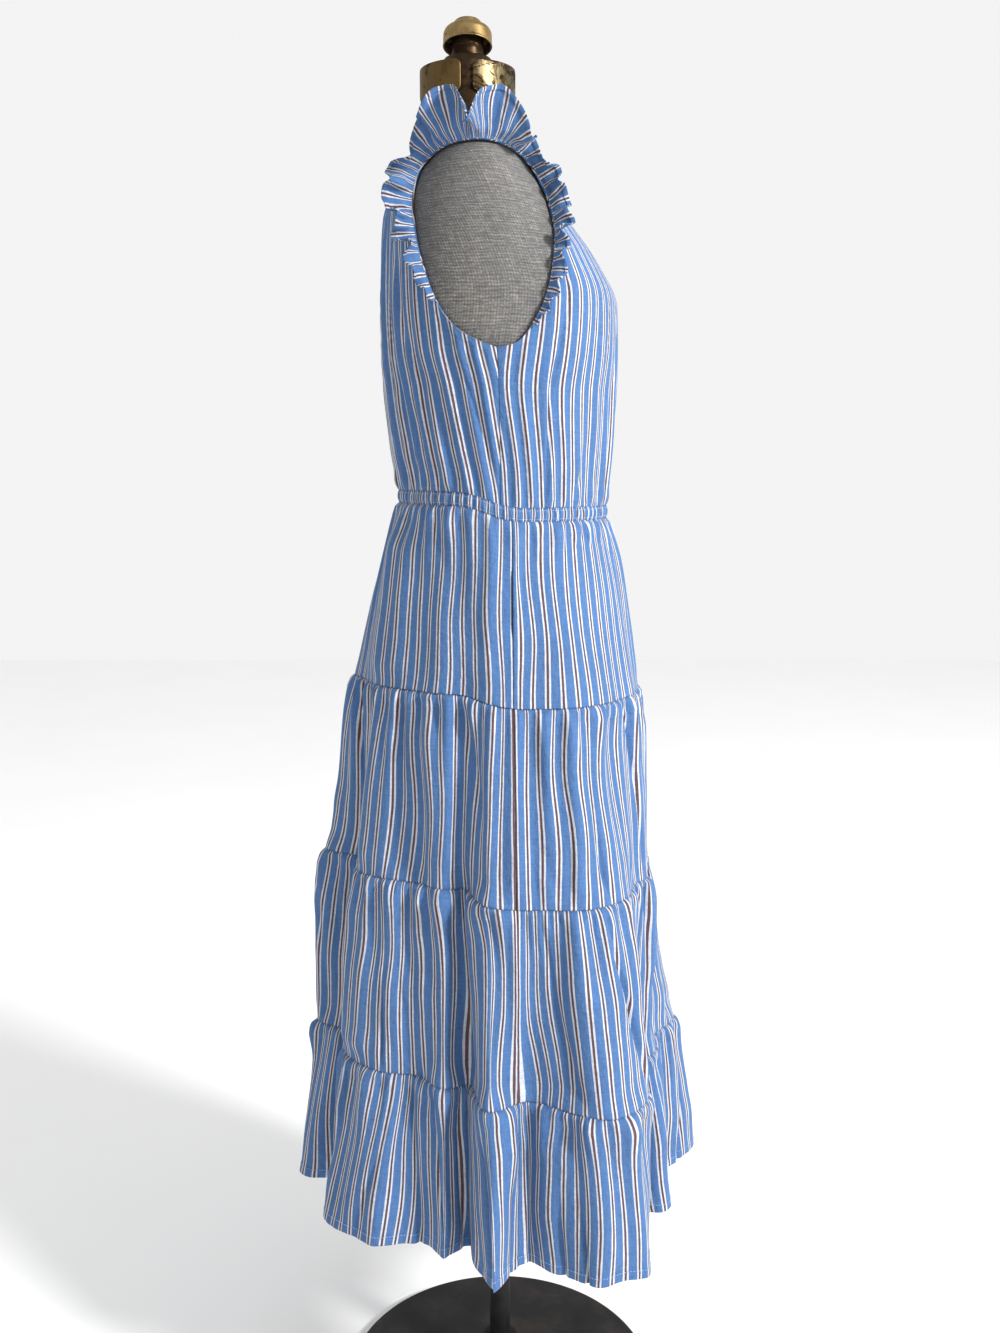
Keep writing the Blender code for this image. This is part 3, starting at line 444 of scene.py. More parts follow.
def bodice_height(u, high, side_gap, at_back):
    """How far the cloth of the bodice stands off its smooth form."""
    wide = 0.62
    place = u + 0.31
    calm = smooth(0.000, 0.016, side_gap)
    broad, cell = uneven_wave(place, 24 if not at_back else 30, wide, 41 + at_back)
    reach = np.random.default_rng(51 + at_back).uniform(0.060, 0.20, 40)[cell % 40]
    if at_back:
        reach = reach * 2.6
    rise = smooth(-0.004, 0.012, high)
    fall = np.exp(-((np.maximum(high, 0) / reach) ** 2.0))
    lift = (broad - 0.25) * rise * fall * (0.0064 if at_back else 0.0056)
    fine, cell = uneven_wave(place, 62, wide, 61 + at_back)
    reach = np.random.default_rng(71 + at_back).uniform(0.008, 0.030, 80)[cell % 80]
    lift += fine * smooth(-0.002, 0.004, high) * np.exp(-((high / reach) ** 1.5)) * 0.0014
    drape = soft_noise(place / 0.024 + high / 0.30, high / 0.120 + 3.0, 81 + at_back)
    deep = 0.0026 if at_back else 0.0021
    lift += deep * drape * smooth(0.0, 0.04, high) * (1 - smooth(0.30, 0.36, high))
    folds = fold_lines(place + 0.12 * high, high, 95 + 2 * at_back)
    lift -= folds * smooth(0.0, 0.03, high) * (0.9 if at_back else 0.6)
    creases = soft_noise(place / 0.014 + high / 0.05, high / 0.04, 91 + at_back)
    lift += 0.00060 * creases
    return lift * calm


def bodice(name, at_back, finish):
    rows, wide = 150, 90
    low = SEAM_GAP
    side_rows = rows // 3
    centre_rows = round(rows * (0.74 if at_back else 0.60))
    arm = metric_walk(armhole_side(ARMHOLE_BACK if at_back else ARMHOLE_FRONT), rows - side_rows + 1)
    neck = metric_walk(neck_side(NECK_BACK if at_back else NECK_FRONT, at_back), rows - centre_rows + 1)
    centre_theta = pi if at_back else 0.0
    up = np.arange(side_rows)[:, None] / side_rows
    side = np.vstack([np.hstack([up * 0 + pi / 2, low + (UNDERARM_HIGH - low) * up]), arm])
    up = np.arange(centre_rows)[:, None] / centre_rows
    middle = np.vstack([np.hstack([up * 0 + centre_theta, low + (neck[0, 1] - low) * up]), neck])
    t = np.linspace(0, 1, wide + 1)[None, :, None]
    grid = (1 - t) * side[:, None, :] + t * middle[:, None, :]
    theta = grid[..., 0].copy()
    high = grid[..., 1]
    seam_side = 1 if at_back else -1
    on_side = np.abs(theta - pi / 2) < 1e-9
    theta = np.where(on_side, theta + seam_side * EDGE_TRIM / 0.15, theta)
    base = body(theta, high)
    normal = body_normal(theta, high)
    base[..., 2] += back_lift(base, high)
    length = round_body(theta, high)
    if at_back:
        length = round_body(np.full_like(theta, pi), high) - length
        full = 1.16
    else:
        full = 1.03 + 0.21 * (1 - smooth(-0.03, 0.17, high))
    seam = resampled(base[: side_rows + 1, 0], 200)
    arm_line = resampled(base[side_rows:, 0], 300)
    neck_line = resampled(base[centre_rows:, -1], 200)
    shoulder = resampled(base[-1], 60)
    d_side = nearest(base, seam, 200)
    d_arm = nearest(base, arm_line, 300)
    d_neck = nearest(base, neck_line, 200)
    d_shoulder = nearest(base, shoulder, 60)
    parts = []
    for half in (1, -1):
        u = half * length * full
        u = u + 0.0013 * soft_noise(u / 0.05 + 9, high / 0.045, 101 + at_back)
        edge = np.minimum(d_arm, d_neck)
        lift = bodice_height(u, high, np.minimum(d_side, d_arm * 1.4), at_back)
        lift *= smooth(0.0, 0.012, d_neck) * 0.8 + 0.2
        pucker = soft_noise(d_side / 0.02, high / 0.006, 111) * 0.0003
        lift += -0.0009 * (1 - smooth(0.0, 0.0030, d_side)) + pucker * (1 - smooth(0.002, 0.012, d_side))
        lift += -0.0006 * (1 - smooth(0.0, 0.0030, d_shoulder))
        band = 0.0005 * (1 - smooth(0.0060, 0.0078, edge))
        ripple = soft_noise(arc_on(base, d_arm) / 0.007, d_arm / 0.02, 121) * 0.0003
        lift += band + ripple * (1 - smooth(0.003, 0.014, edge))
        lift = np.where(lift < -0.0008, -0.0008 + (lift + 0.0008) * 0.35, lift)
        grid3 = base + normal * lift[..., None]
        lip = normal.copy()
        if half < 0:
            grid3 = grid3 * np.array([-1.0, 1.0, 1.0])
            lip = lip * np.array([-1.0, 1.0, 1.0])
        uv = np.stack([u, high * 1.04], axis=-1)
        # Edge distances for the painted shade along the armhole, neckline, side seam and shoulder seam.
        marks = np.stack([edge, np.minimum(d_side, d_shoulder)], axis=-1)
        order = slice(None) if half > 0 else slice(None, None, -1)
        parts.append((grid3[:, order], uv[:, order], marks[:, order]))
        for label, line, n_line, inner, uv_line in (
            ("arm", grid3[side_rows:, 0], lip[side_rows:, 0], grid3[side_rows:, 2], uv[side_rows:, 0]),
            ("neck", grid3[centre_rows:, -1], lip[centre_rows:, -1], grid3[centre_rows:, -3],
             uv[centre_rows:, -1]),
            ("side", grid3[: side_rows + 1, 0], lip[: side_rows + 1, 0], grid3[: side_rows + 1, 2],
             uv[: side_rows + 1, 0]),
            ("waist", grid3[0], lip[0], grid3[2], uv[0]),
            ("shoulder", grid3[-1], lip[-1], grid3[-3], uv[-1]),
        ):
            into = inner - line
            into /= np.maximum(np.linalg.norm(into, axis=1, keepdims=True), 1e-9)
            if label in ("arm", "neck"):
                rolled = [line, line - n_line * 0.0010 - into * 0.0005, line - n_line * 0.0026 - into * 0.0003,
                          line - n_line * 0.0032 + into * 0.0060]
            elif label == "waist" or not at_back:
                rolled = [line, line - n_line * 0.0010, line - n_line * 0.0014 - into * 0.0010,
                          line - n_line * 0.0015 - into * 0.0028]
            else:
                rolled = [line, line - n_line * 0.0002, line - n_line * 0.0005, line - n_line * 0.0008]
            if label in ("neck", "shoulder"):
                rolled.reverse()
            if half < 0:
                rolled.reverse()
            strip = np.stack(rolled, axis=1)
            uv_strip = np.repeat(uv_line[:, None], 4, axis=1) + np.array([0, 1, 2, 6])[None, :, None] * 0.001
            # Painted shade all over the turned side, waist and shoulder strips; none on the armhole and neckline
            # strips.
            gap = 0.02 if label in ("arm", "neck") else 0.0
            parts.append((strip[:, ::-1], uv_strip, np.full(uv_strip.shape, gap)))
    points, quads, uv, edge = join_grids(parts)
    piece = make_mesh(name, points, quads, uv, edge, finish)
    area = mesh_area(points, quads)
    return piece, area


def arc_on(base, d_arm):
    """Rough running coordinate along the armhole for its ripples."""
    above = base[..., 2] - WAIST_Z - ARMHOLE_CENTRE_HIGH
    return np.arctan2(above, -base[..., 1] - ARMHOLE_CENTRE_FORWARD) * 0.09


# ---- skirt

RING_ANGLES = np.arange(RING_SAMPLES) * 360.0 / RING_SAMPLES


def waist_radius(angle):
    depth = np.where(np.cos(np.radians(angle)) >= 0, WAIST_FRONT, WAIST_BACK)
    return 1 / np.hypot(np.cos(np.radians(angle)) / depth, np.sin(np.radians(angle)) / WAIST_HALF_WIDTH)


WAIST_RING = waist_radius(RING_ANGLES)


def blurred(ring):
    sigma = RING_BLUR_DEGREES * RING_SAMPLES / 360.0
    reach = int(3 * sigma)
    weight = np.exp(-0.5 * (np.arange(-reach, reach + 1) / sigma) ** 2)
    weight /= weight.sum()
    return np.convolve(np.concatenate([ring[-reach:], ring, ring[:reach]]), weight, "valid")


def fold_ring(angles, radii):
    wide = np.concatenate([angles - 360, angles, angles + 360])
    return blurred(pchip(wide, np.concatenate([radii, radii, radii]), RING_ANGLES))


FOLD_TABLE = np.array(FOLDS, float)


def skirt_ring(high):
    columns = FOLD_TABLE[:, 0::2].T
    radii = FOLD_TABLE[:, 1::2].T
    if high >= SEAMS[1]:
        share = (SEAMS[0] - high) / (SEAMS[0] - SEAMS[1])
        below = fold_ring(columns[0], radii[0])
        return WAIST_RING + (below - WAIST_RING) * share**0.85
    level = 1 if high >= SEAMS[2] else 2 if high >= SEAMS[3] else 3
    share = (SEAMS[level] - high) / (SEAMS[level] - SEAMS[level + 1])
    angles = columns[level - 1] + (columns[level] - columns[level - 1]) * share
    reach = radii[level - 1] + (radii[level] - radii[level - 1]) * share
    return fold_ring(angles, reach)


def gather_ring(count, seed):
    """The gathers of a tier all round, the same ones as in its solid: -1 in valleys."""
    rng = np.random.default_rng(seed)
    widths = rng.uniform(0.65, 1.35, count)
    edges = np.concatenate([[0], np.cumsum(widths)]) * 360.0 / widths.sum()
    phase = np.interp(RING_ANGLES, edges, np.arange(count + 1))
    strength = rng.uniform(0.55, 1.0, count)
    each = strength[np.minimum(phase.astype(int), count - 1)]
    return -1 + (1 - np.cos(2 * pi * phase)) * each, np.sin(2 * pi * phase) * each


def at_angle(ring, angle):
    return np.interp(np.asarray(angle) % 360.0, np.append(RING_ANGLES, 360.0), np.append(ring, ring[0]))


def plan(radius, angle, high):
    turn = np.radians(angle)
    return np.stack([-radius * np.sin(turn), -radius * np.cos(turn), WAIST_Z + high + 0 * turn], axis=-1)


def fold_lines(across, down, seed):
    """Depth of narrow soft folds that wander down the cloth and fade in and out."""
    field = soft_noise(across / 0.026, down / 0.20, seed)
    strength = 0.5 + 0.5 * soft_noise(across / 0.05, down / 0.07, seed + 1)
    return FOLD_DEPTH * np.clip(strength, 0, 1.3) * np.exp(-((field / 0.16) ** 2))


def tier_rows(height, last):
    """Heights of the rows below the top seam, close together near the seams."""
    top = [0.0, 0.0008, 0.0018, 0.0030, 0.0045, 0.0062, 0.0082, 0.0106, 0.0135, 0.0170, 0.0210]
    low = ([0.0120, 0.0102, 0.0090, 0.0060, 0.0030, 0.0012, 0.0] if last
           else [0.0075, 0.0050, 0.0032, 0.0018, 0.0008, 0.0])
    steps = int((height - top[-1] - low[0]) / 0.0052)
    inner = np.linspace(top[-1], height - low[0], steps + 1)[1:-1]
    return np.concatenate([top, inner, height - np.array(low)])


def tier_panel(number, first, last, finish, label):
    name, gathers, stand_out, puff, seed, puckers, columns = TIERS[number]
    top = SEAMS[number] - 0.00005
    bottom = SEAMS[number + 1] + 0.00005
    height = top - bottom
    is_hem = number == len(TIERS) - 1
    downs = tier_rows(height, is_hem)
    shares = downs / height
    t = np.linspace(0, 1, columns + 1)
    trim = degrees(0.0001 / 0.14)
    fine = np.linspace(first + trim, last - trim, 1800)
    start = 1 if label == "back" else 0
    wander_seed = 300 + number * 7 + start
    room = np.minimum(t, 1 - t)
    calm = smooth(0.0, 0.03, room)
    span = 0.30 + 0.28 * number
    grid, angles, normals = [], [], []
    for share in shares:
        high = top + (bottom - top) * share
        ring = skirt_ring(high)
        radius = at_angle(ring, fine)
        line = plan(radius, fine, high)
        run = arc(line)
        part = 0.78 * run / run[-1] + 0.22 * np.linspace(0, 1, len(fine))
        level = np.full_like(t, share * height / 0.060 + number * 3)
        wander = soft_noise(t * span / 0.035 + 5, level, wander_seed)
        moved = np.clip(t + 0.0040 / run[-1] * wander * calm, 0, 1)
        angle = np.interp(moved, part, fine)
        radius = at_angle(ring, angle)
        row = plan(radius, angle, high)
        row[:, 2] += back_lift(row, high)
        tangent = np.gradient(row[:, :2], axis=0)
        tangent /= np.linalg.norm(tangent, axis=1, keepdims=True)
        side = np.stack([tangent[:, 1], -tangent[:, 0], 0 * tangent[:, 0]], axis=1)
        if (side[:, :2] * row[:, :2]).sum() < 0:
            side = -side
        grid.append(row)
        angles.append(angle)
        normals.append(side)
    grid = np.array(grid)
    angles = np.array(angles)
    normals = np.array(normals)
    down = downs[:, None]
    share = shares[:, None]
    metres = room * span * 1.9
    meet = smooth(0.0, 0.024, metres)[None, :]
    near_seam = int(np.searchsorted(shares, 0.08))
    wave, bunch = (at_angle(ring, angles[near_seam])[None, :] for ring in gather_ring(gathers, seed))
    profile = pchip([0, 0.04, 0.08, 0.22, 0.45, 1.0], [0.20, 0.95, 1.3, 1.05, 0.70, 0.32], share)
    length = pchip([0, 1], [0.75, 1.35], 0.5 + 0.5 * np.sin(t * 41 + number * 2 + start))[None, :]
    profile = profile * np.where(share > 0.08, np.clip(length, 0.7, 1.25), 1.0)
    lift = puff * pchip([0, 0.02, 0.08, 0.45, 1.0], [0, 0.5, 1.0, 0.6, 0.0], share) + wave * stand_out * profile
    small, cell = uneven_wave(t, int(puckers / 2), 1.0, 400 + number * 5 + start, 0.35)
    reach = np.random.default_rng(430 + number + start).uniform(0.012, 0.050, 200)[cell % 200][None, :]
    rise = smooth(0.0002, 0.0050, down)
    pucker = 0.0026 if number else 0.0018
    lift = lift + meet * small[None, :] * rise * np.exp(-((down / reach) ** 1.4)) * pucker
    tiny, cell = uneven_wave(t, int(puckers * 1.25), 1.0, 470 + number * 5 + start, 0.2)
    reach = np.random.default_rng(490 + number + start).uniform(0.006, 0.020, 400)[cell % 400][None, :]
    lift = lift + meet * tiny[None, :] * rise * np.exp(-((down / reach) ** 1.4)) * 0.0012
    place = t[None, :] * span
    drape = soft_noise(place / 0.030, down / 0.17 + number * 5, 500 + number * 3 + start)
    lift = lift + DRAPE_DEPTH * meet * drape * smooth(0.008, 0.05, down)
    folds = fold_lines(place + 0.10 * down, down, 660 + number * 3 + start)
    lift = lift - meet * folds * smooth(0.0, 0.02, down)
    creases = soft_noise(place / 0.011 + down / 0.09, down / 0.035, 520 + number * 3 + start)
    lift = lift + CREASE_DEPTH * meet * creases * smooth(0.004, 0.02, down)
    slant = soft_noise(place / 0.055 + down / 0.10, down / 0.028 - place / 0.20, 540 + number * 3 + start)
    lift = lift + SLANT_DEPTH * meet * np.maximum(slant, 0) ** 1.5 * smooth(0.02, 0.05, down)
    above = height - down
    if not is_hem:
        lift = lift * smooth(0.0, 0.026, above)
        upward = soft_noise(place / 0.006, above / 0.02, 560 + number)
        lift = lift + 0.0004 * upward * (1 - smooth(0.0, 0.018, above)) * smooth(0.0, 0.003, above)
        lift = lift - 0.0002 * (1 - smooth(0.0, 0.0020, above))
    lift = lift - 0.0005 * (1 - smooth(0.0, 0.0018, down))
    lift = lift - (0.0003 * (1 - smooth(0.0, 0.0020, metres)))[None, :]
    jitter = 0.0003 * soft_noise(down / 0.005, metres[None, :] / 0.02, 580)
    lift = lift + jitter * (1 - smooth(0.0, 0.012, metres))[None, :]
    if number == 0:
        lift = np.where(lift < 0, lift * (0.1 if label == "front" else 0.3), lift) + 0.0004
        lift = lift + pocket_mouth(t, downs, label)
    if is_hem:
        band = 0.0004 * (1 - smooth(HEM_TURN - 0.0015, HEM_TURN + 0.0004, above))
        ripple = soft_noise(place / 0.007, above / 0.02, 590 + start) * 0.0005 * (1 - smooth(0.0, 0.022, above))
        lift = lift + band + ripple
    grid = grid + normals * lift[..., None]
    if is_hem:
        drop = 0.0018 * soft_noise(place / 0.05, 0 * place, 600 + start) * calm
        grid[..., 2] += drop * smooth(0.5, 1.0, share)
    cut = float(arc(grid[-1])[-1])
    u = t[None, :] * cut + 0 * share + 0.37 * number + 0.21 * start
    bend = soft_noise(place / 0.080, down / 0.075 + number, 610 + number * 2 + start)
    u = u + meet * (0.0019 * bunch * pchip([0, 0.10, 0.5, 1.0], [1.0, 0.85, 0.30, 0.0], share) + 0.0048 * bend)
    tight = np.sin(2 * pi * t * puckers * 0.6 + 9 * soft_noise(t * 14, 0 * t, 640 + number))
    u = u + meet * 0.0005 * tight[None, :] * np.exp(-((down / 0.030) ** 1.4))
    v = down + 0 * u
    # Edge distances for the painted shade along the top seam, the seam below and the side edges; the hem tier has
    # none at its hem.
    marks = np.stack([np.minimum(v, above + 0 * u) if not is_hem else v, metres[None, :] + 0 * v], axis=-1)
    uv = np.stack([u, v], axis=-1)
    tucked = grid[:1] - normals[:1] * 0.0014
    grid = np.concatenate([tucked + [0, 0, 0.0030], tucked + [0, 0, 0.0004], grid])
    uv = np.concatenate([uv[:1] - [0, 0.004], uv[:1] - [0, 0.0012], uv])
    # The tucked rows are painted in shade.
    marks = np.concatenate([marks[:1] * 0, marks[:1] * 0, marks])
    if is_hem:
        inner = normals[-1:]
        lifted = np.array([0.0, 0.0, 1.0])
        after = [grid[-1:] - inner * 0.0005 - lifted * 0.0003, grid[-1:] - inner * 0.0011 + lifted * 0.0004]
        low = normals[-3:-2]
        after += [grid[-4:-3] - low * 0.0013 + lifted * 0.0010, grid[-5:-4] - low * 0.0013]
        extra = np.concatenate(after)
        uv_extra = np.stack([np.broadcast_to(u[-1], (4, u.shape[1])),
                             height + np.array([0.0005, 0.001, 0.006, 0.010])[:, None] + 0 * u[:4]], axis=-1)
        marks_extra = np.full(uv_extra.shape, 0.02)
    else:
        extra = grid[-1:] - normals[-1:] * 0.0007
        uv_extra = uv[-1:] + [0, 0.0007]
        # The row turned under the seam is painted in shade.
        marks_extra = marks[-1:] * 0
    grid = np.concatenate([grid, extra])
    uv = np.concatenate([uv, uv_extra])
    marks = np.concatenate([marks, marks_extra])
    after_rows = len(grid) - len(normals) - TUCKED_ROWS
    all_normals = np.concatenate([normals[:1]] * TUCKED_ROWS + [normals] + [normals[-1:]] * after_rows)
    ends = []
    mouth = 0 * uv[:, 0, 1]
    if number == 0:
        mouth = np.interp(uv[:, 0, 1], [0.048, 0.056, 0.112, 0.122], [0, 1, 1, 0])
    for column, beside in ((0, 1), (-1, -2)):
        edge_line = grid[:, column]
        outer = edge_line - grid[:, beside]
        outer /= np.maximum(np.linalg.norm(outer, axis=1, keepdims=True), 1e-9)
        inward = all_normals[:, column]
        if label == "front":
            steps = [edge_line - inward * 0.0010, edge_line - inward * 0.0016 + outer * 0.0012,
                     edge_line - inward * (0.0018 + 0.0012 * mouth[:, None]) + outer * 0.0034]
        else:
            steps = [edge_line - inward * 0.0003, edge_line - inward * 0.0005, edge_line - inward * 0.0007]
        # Painted shade along both side edges, and a deep painted shade along the pocket opening.
        edge_shade_marks = np.stack([marks[:, column, 0], -0.002 * mouth], axis=-1)
        ends.append((steps, uv[:, column], edge_shade_marks))
    (left, uv_left, marks_left), (right, uv_right, marks_right) = ends
    grid = np.concatenate([np.stack(left[::-1], axis=1), grid, np.stack(right, axis=1)], axis=1)
    uv = np.concatenate([np.stack([uv_left] * 3, axis=1), uv, np.stack([uv_right] * 3, axis=1)], axis=1)
    marks = np.concatenate(
        [np.stack([marks_left] * 3, axis=1), marks, np.stack([marks_right] * 3, axis=1)], axis=1)
    points, quads, uv, edge = join_grids([(grid, uv, marks)])
    piece = make_mesh(f"{name}_{label}_cloth", points, quads, uv, edge, finish)
    placed(piece, "striped_cotton", f"{name}_{label}")
    return grid[:, 3:-3], normals




def pocket_mouth(t, downs, label):
    """The pocket opening in the side seam: the front edge stands out, the back edge lies in."""
    from_side = 1 - t if label == "front" else t
    other = t if label == "front" else 1 - t
    along = smooth(0.044, 0.058, downs) * (1 - smooth(0.108, 0.126, downs))
    total = np.zeros((len(downs), len(t)))
    for gap in (from_side, other):
        metres = gap * 0.5
        if label == "front":
            total += along[:, None] * (0.0012 * (1 - smooth(0.002, 0.016, metres)))[None, :]
        else:
            total -= along[:, None] * (0.0010 * (1 - smooth(0.001, 0.006, metres)))[None, :]
    return total


# ---- waistband and ruffles


def waistband(finish):
    """Elastic casing: a low rounded band with close uneven puckers and two stitched lines."""
    columns = 1500
    angles = np.linspace(0, 360, columns + 1)
    ring = at_angle(WAIST_RING, angles)
    base = plan(ring, angles, 0.0 * angles)
    run = arc(base)
    t = run / run[-1]
    coarse, _ = uneven_wave(t, 104, 1.0, 700, 0.5)
    fine, _ = uneven_wave(t, 210, 1.0, 701, 0.3)
    downs = np.array([0.0, 0.0006, 0.0016, 0.0026, 0.0040, 0.0055, 0.0070, 0.0085, 0.0100, 0.0114, 0.0124, 0.0134,
                      BAND_HIGH - EDGE_TRIM])
    middle = BAND_HIGH / 2
    bulge = 1 - (np.abs(downs - middle) / middle) ** 2.4
    tangent = np.gradient(base[:, :2], axis=0)
    tangent[0] = tangent[-1] = (tangent[0] + tangent[-1]) / 2
    tangent /= np.linalg.norm(tangent, axis=1, keepdims=True)
    side = np.stack([tangent[:, 1], -tangent[:, 0], 0 * angles], axis=1)
    if (side[:, :2] * base[:, :2]).sum() < 0:
        side = -side
    stitch = np.exp(-((downs - 0.0026) / 0.0007) ** 2) + np.exp(-((downs - 0.0114) / 0.0007) ** 2)
    lean = soft_noise(t[None, :] * 120, downs[:, None] / 0.008, 702)
    lift = 0.0006 * bulge[:, None] - 0.0003 * stitch[:, None]
    shape = (0.35 + 0.65 * bulge)[:, None]
    lift = lift + (0.0019 * coarse + 0.0008 * fine)[None, :] * shape - 0.0003 + 0.0003 * lean
    ends = np.clip(np.minimum(t, 1 - t) * 60, 0, 1)
    lift = lift * (0.4 + 0.6 * ends)[None, :]
    grid = base[None] + side[None] * lift[..., None]
    grid[..., 2] += back_lift(base[None] + 0 * grid, -downs[:, None]) - downs[:, None]
    grid[0, :, 2] += 0.0004
    grid[-1, :, 2] -= 0.0004
    grid = np.concatenate([grid[:1] - side[None] * 0.0010, grid, grid[-1:] - side[None] * 0.0010])
    cut = 1.30
    u = t[None, :] * cut + 0.0006 * soft_noise(t[None, :] * 160, downs[:, None] / 0.006, 703)
    uv = np.stack([u, downs[:, None] + 0 * u], axis=-1)
    uv = np.concatenate([uv[:1], uv, uv[-1:]])
    # Edge distances for the painted shade along both edges of the band; the tucked rows above and below are
    # painted in shade.
    gap = np.minimum(downs, BAND_HIGH - downs)[:, None] + 0 * u
    marks = np.stack([gap, 0 * gap + 0.05], axis=-1)
    marks = np.concatenate([marks[:1] * 0, marks, marks[-1:] * 0])
    points, quads, uv, edge = join_grids([(grid, uv, marks)])
    piece = make_mesh("waistband_cloth", points, quads, uv, edge, finish)
    placed(piece, "striped_cotton", "waistband")
    return grid, side


def armhole_line():
    front = armhole_side(ARMHOLE_FRONT)
    back = armhole_side(ARMHOLE_BACK)
    line = np.vstack([front, back[-2::-1]])
    spots = body(line[:, 0], line[:, 1]) + body_normal(line[:, 0], line[:, 1]) * RUFFLE_STAND_OFF
    across = -spots[:, 1] - ARMHOLE_CENTRE_FORWARD
    above = spots[:, 2] - WAIST_Z - ARMHOLE_CENTRE_HIGH
    around = np.degrees(np.unwrap(np.arctan2(across, above)))
    keep = (around <= RUFFLE[0][0]) & (around >= RUFFLE[-1][0])
    return spots[keep], around[keep]


def smoothed(line, times):
    line = line.copy()
    for _ in range(times):
        line[1:-1] = 0.25 * line[:-2] + 0.5 * line[1:-1] + 0.25 * line[2:]
    return line


def ruffle(name, side, finish):
    """Gathered frill round the armhole, with small pleats that open towards its free edge."""
    line, around = armhole_line()
    base = resampled(np.column_stack([line, around]), RUFFLE_COLUMNS + 1)
    around = base[:, 3]
    base = smoothed(base[:, :3], 60)
    table = np.array(RUFFLE[::-1], float)
    width = pchip(table[:, 0], table[:, 1], around)
    lean = pchip(table[:, 0], table[:, 2], around)
    along = np.gradient(base, axis=0)
    along /= np.linalg.norm(along, axis=1, keepdims=True)
    out = np.array([-1.0, 0.0, 0.0]) + along * along[:, :1]
    out /= np.linalg.norm(out, axis=1, keepdims=True)
    away = np.cross(along, out)
    away /= np.linalg.norm(away, axis=1, keepdims=True)
    centre = np.array([0.0, -ARMHOLE_CENTRE_FORWARD, WAIST_Z + ARMHOLE_CENTRE_HIGH])
    if ((base - centre) * away).sum() < 0:
        away = -away
    run = arc(base)
    seed = 800 if side > 0 else 820
    pleats, _ = uneven_wave(run, 27, run[-1], seed, 0.35)
    small, _ = uneven_wave(run, 70, run[-1], seed + 1, 0.2)
    pleats -= 0.4
    small -= 0.35
    flutter, _ = uneven_wave(run, 17, run[-1], seed + 5, 0.45)
    flutter = (flutter * 2 - 0.85) * (44 - 26 * smooth(0.028, 0.042, width))
    rows = [base]
    shares = [0.0]
    for i in range(RUFFLE_ROWS):
        share = (i + 0.5) / RUFFLE_ROWS
        turned = np.radians(RUFFLE_BASE_LEAN + (lean + flutter - RUFFLE_BASE_LEAN) * share**0.6)
        step = away * np.cos(turned)[:, None] + out * np.sin(turned)[:, None]
        rows.append(rows[-1] + step * (width / RUFFLE_ROWS)[:, None])
        shares.append((i + 1) / RUFFLE_ROWS)
    grid = np.array(rows)
    share = np.array(shares)[:, None]
    normal = grid_normals(grid)
    depth = share * width[None, :]
    drop = np.exp(-((depth / 0.016) ** 1.6))
    fullness = (0.55 + 0.45 * smooth(0.016, 0.034, width))[None, :]
    wave = PLEAT_DEPTH * pleats[None, :] * smooth(0, 0.012, depth) * fullness
    wave = wave * (1 - 0.40 * smooth(0.018, 0.045, depth))
    wave = wave + 0.0022 * small[None, :] * smooth(0, 0.003, depth) * (0.25 + 0.75 * drop)
    soft = soft_noise(run[None, :] / 0.016 + depth / 0.05, depth / 0.018, seed + 2)
    wave = wave + 0.0034 * soft * smooth(0.004, 0.016, depth)
    grid = grid + normal * wave[..., None]
    edge_wave = 0.0018 * soft_noise(run / 0.008, 0 * run, seed + 3)
    edge_wave = edge_wave + 0.0026 * soft_noise(run / 0.021, 0 * run, seed + 4)
    edge_wave = edge_wave * smooth(0.004, 0.018, width)
    grid = grid + (away * edge_wave[:, None])[None] * smooth(0.5, 1.0, share)[..., None]
    tuck = base - out * 0.0004 - away * 0.0016
    grid = np.concatenate([tuck[None], grid])
    last = grid[-1]
    inner = grid[-1] - grid[-3]
    inner /= np.maximum(np.linalg.norm(inner, axis=1, keepdims=True), 1e-9)
    rim = grid_normals(grid)[-1]
    hem = 0.0045 * np.clip(width / 0.02, 0.3, 1.0)[:, None]
    turn = [last + inner * 0.0002 - rim * 0.0004, last - rim * 0.0009 - inner * 0.0002,
            last - rim * 0.0010 - inner * hem]
    grid = np.concatenate([grid, np.array(turn)])
    cut_line = arc(last)
    u = np.broadcast_to(cut_line[None], grid.shape[:2]) + 0.004
    depths = np.concatenate([[0.0], shares, [1.0, 1.01, 1.05]])[:, None] * width[None, :]
    uv = np.stack([u, depths], axis=-1)
    # Edge distances for the painted shade along the free edge and on its turned hem.
    marks = np.stack([np.maximum(width[None, :] - depths, 0.0), depths * 0 + 0.05], axis=-1)
    grid = grid * np.array([side, 1.0, 1.0])
    if side < 0:
        grid, uv, marks = grid[:, ::-1], uv[:, ::-1], marks[:, ::-1]
    points, quads, uv, edge = join_grids([(grid, uv, marks)])
    piece = make_mesh(name + "_cloth", points, quads, uv, edge, finish)
    placed(piece, "striped_cotton", name)


# ---- dress form and stand


